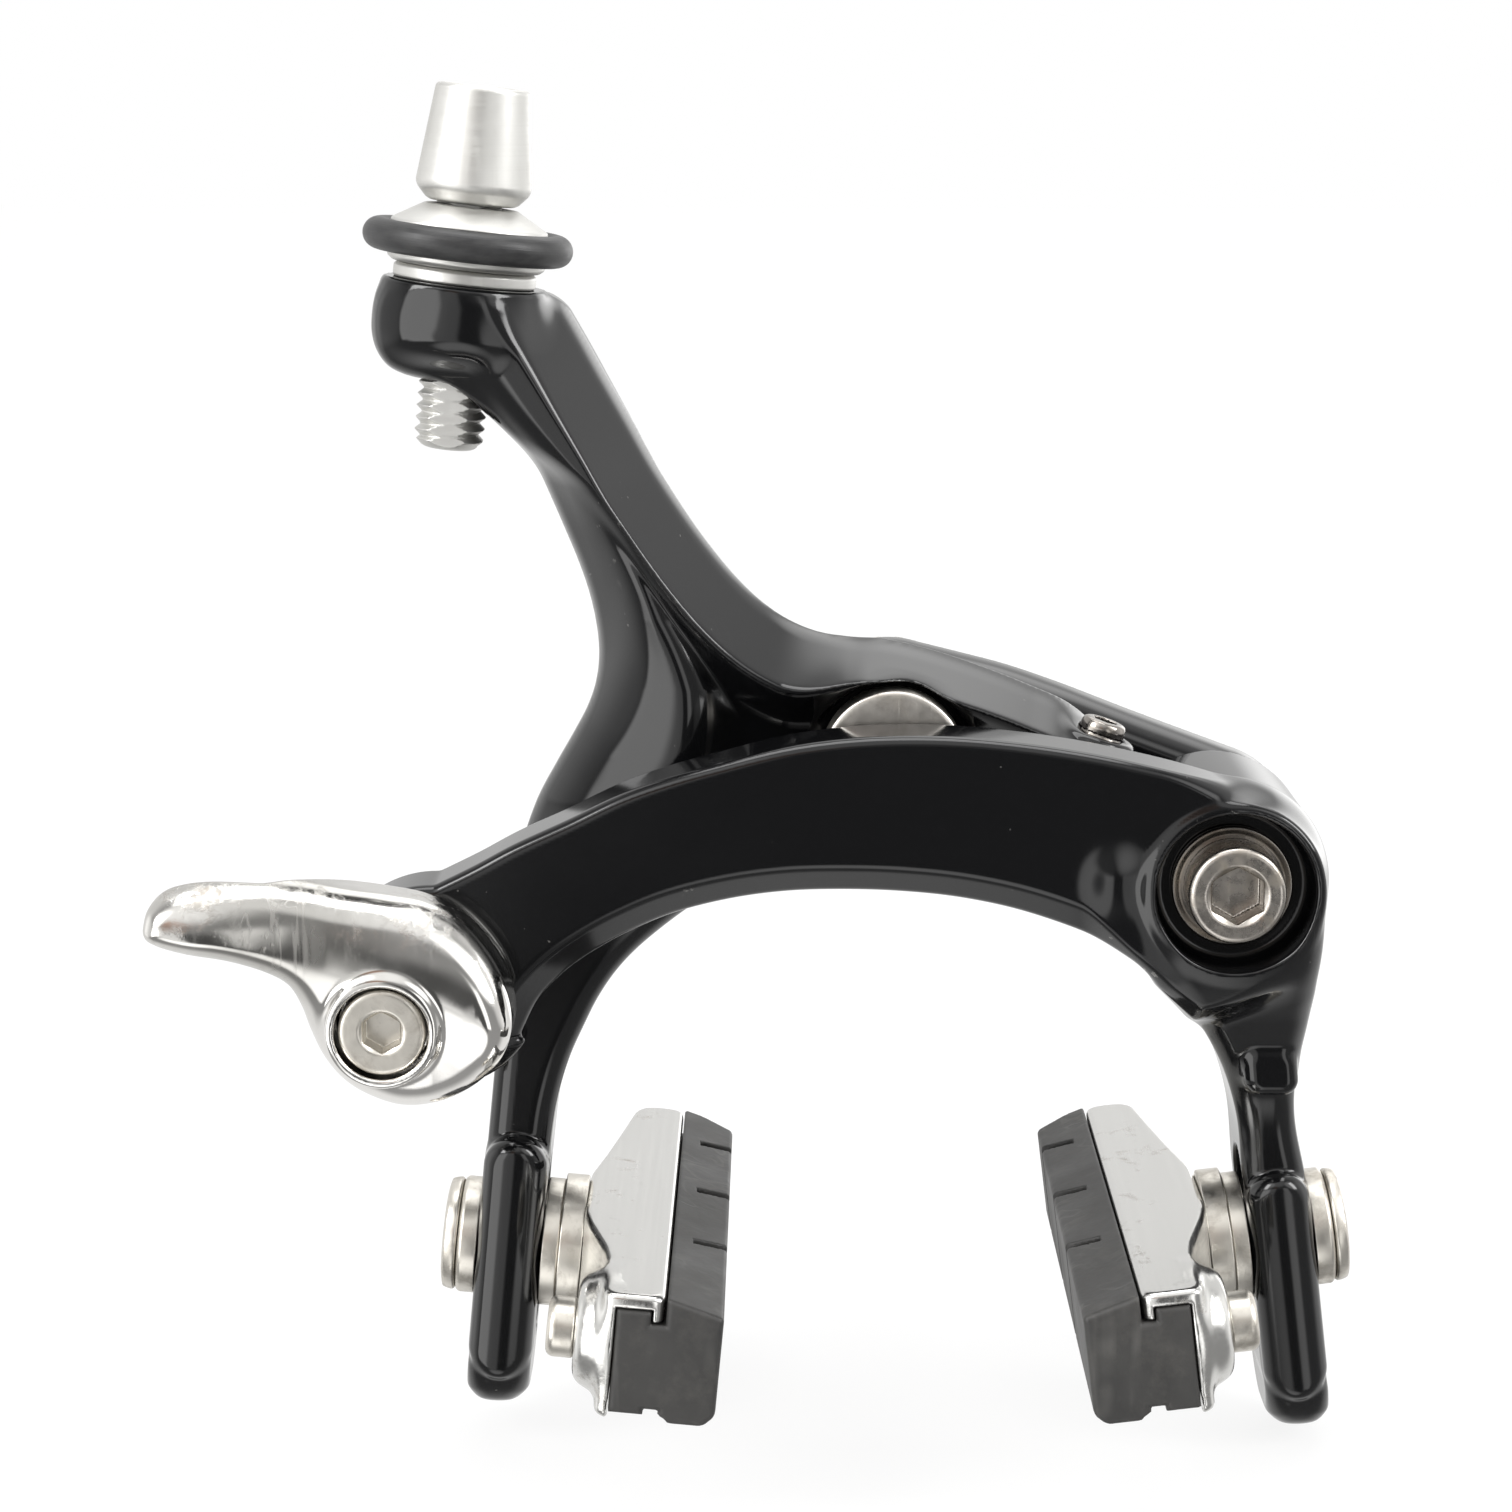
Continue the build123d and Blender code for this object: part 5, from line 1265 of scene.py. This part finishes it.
# upright windows at eye level: azimuth and half width in degrees, strength
WINDOWS = ((-49, 19, 2.9), (-18, 12, 0.9), (26, 9, 1.4))

scene = bpy.context.scene
# an existing world is reused
world = bpy.data.worlds.new("studio") if scene.world is None else scene.world
scene.world = world
world.use_nodes = True
world.node_tree.nodes.clear()
sky = Nodes(world.node_tree)
output = sky.new("ShaderNodeOutputWorld")
normalize = sky.new("ShaderNodeVectorMath", operation="NORMALIZE")
sky.feed(normalize.inputs[0], sky.new("ShaderNodeTexCoord").outputs["Generated"])
view = normalize.outputs["Vector"]


def facing(direction):
    """Cosine of the angle between the view and a direction."""
    node = sky.new("ShaderNodeVectorMath", operation="DOT_PRODUCT")
    sky.feed(node.inputs[0], view)
    node.inputs[1].default_value = Vector(direction).normalized()
    return node.outputs["Value"]


def spot(direction, inner, outer):
    """1 within inner degrees of the direction, 0 beyond outer degrees."""
    span = (math.cos(math.radians(outer)), math.cos(math.radians(inner)))
    return sky.remap(facing(direction), span=span, smooth=True)


def towards(azimuth, elevation):
    around, up = math.radians(azimuth), math.radians(elevation)
    return (math.sin(around) * math.cos(up), -math.cos(around) * math.cos(up), math.sin(up))


table = sky.remap(facing((0, 1, 0)), span=(-0.15, 0.40), smooth=True)
TABLE_GAIN, ROOM_LEVEL, SHADE_DEPTH = 0.56, 0.34, 0.72
level = sky.plus(sky.times(table, TABLE_GAIN), ROOM_LEVEL)
# dark patch round the camera
shade = sky.times(spot((0.0, -0.98, -0.19), inner=13, outer=30), SHADE_DEPTH)
level = sky.times(level, sky.math("SUBTRACT", 1.0, shade))
for azimuth, elevation, inner, outer, strength in LAMPS:
    lamp = spot(towards(azimuth, elevation), inner, outer)
    level = sky.plus(level, sky.times(lamp, strength))
view_x, view_y, view_z = sky.split(view)
view_azimuth = sky.math("ARCTAN2", view_x, sky.times(view_y, -1.0))
window_height = sky.times(sky.remap(view_z, span=(-0.46, -0.36), smooth=True),
                          sky.remap(view_z, span=(0.22, 0.36), to=(1.0, 0.0), smooth=True))
for azimuth, half_width, strength in WINDOWS:
    offset = sky.math("SUBTRACT", view_azimuth, math.radians(azimuth))
    strip = sky.remap(sky.math("ABSOLUTE", offset, 0.0), to=(1.0, 0.0), smooth=True,
                      span=(math.radians(half_width - 4.0), math.radians(half_width + 3.0)))
    level = sky.plus(level, sky.times(sky.times(strip, window_height), strength))
# one small orange glow
WARM_SHARE = 0.55
warm = sky.times(spot(towards(-12, 24), inner=3, outer=12), WARM_SHARE)
room = sky.new("ShaderNodeBackground")
sky.feed(room.inputs["Strength"], level)
sky.feed(room.inputs["Color"], sky.mix(warm, (1.0, 0.997, 0.99), (1.0, 0.42, 0.16)))
# the camera itself sees plain white
white = sky.new("ShaderNodeBackground")
sky.feed(white.inputs["Color"], (1, 1, 1))
blend = sky.new("ShaderNodeMixShader")
for i, value in enumerate((sky.new("ShaderNodeLightPath").outputs["Is Camera Ray"],
                           room.outputs[0], white.outputs[0])):
    sky.feed(blend.inputs[i], value)
sky.feed(output.inputs["Surface"], blend.outputs[0])


# ---- lights and camera ----------------------------------------------------
def area_light(name, place, aim, size, watts):
    """Rectangular lamp; place, aim and size in metres."""
    light = bpy.data.lights.new(name, "AREA")
    light.shape = "RECTANGLE"
    light.size, light.size_y = size
    light.energy = watts
    obj = add_object(name, light)
    obj.location = place
    obj.rotation_euler = (Vector(aim) - Vector(place)).to_track_quat("-Z", "Y").to_euler()


area_light("key_left", place=(-0.60, -0.38, 0.46), aim=(0, 0, -0.01), size=(0.28, 0.42),
           watts=3.2)
area_light("key_right", place=(0.64, -0.22, 0.36), aim=(0, 0, -0.01), size=(0.22, 0.42),
           watts=2.4)
area_light("top", place=(0.0, 0.05, 0.75), aim=(0, 0, 0), size=(0.6, 0.4), watts=3.0)

CAMERA_PLACE = (-9.653, -308.693, 56.601)
CAMERA_RIGHT = Vector((0.99998, 0.00673, 0.0)).normalized()
CAMERA_VIEW = Vector((-0.00661, 0.98183, -0.18964)).normalized()

camera_data = bpy.data.cameras.new("camera")
camera_data.lens = 83.333333
camera_data.sensor_width = 36.0
camera_data.sensor_fit = "HORIZONTAL"
camera_data.clip_start, camera_data.clip_end = 0.01, 20.0
camera = add_object("camera", camera_data)
camera_up = CAMERA_RIGHT.cross(CAMERA_VIEW).normalized()
pose = Matrix((CAMERA_RIGHT, camera_up, -CAMERA_VIEW)).transposed().to_4x4()
pose.translation = [value * MM for value in CAMERA_PLACE]
camera.matrix_world = pose
scene.camera = camera
scene.view_settings.view_transform = "Standard"
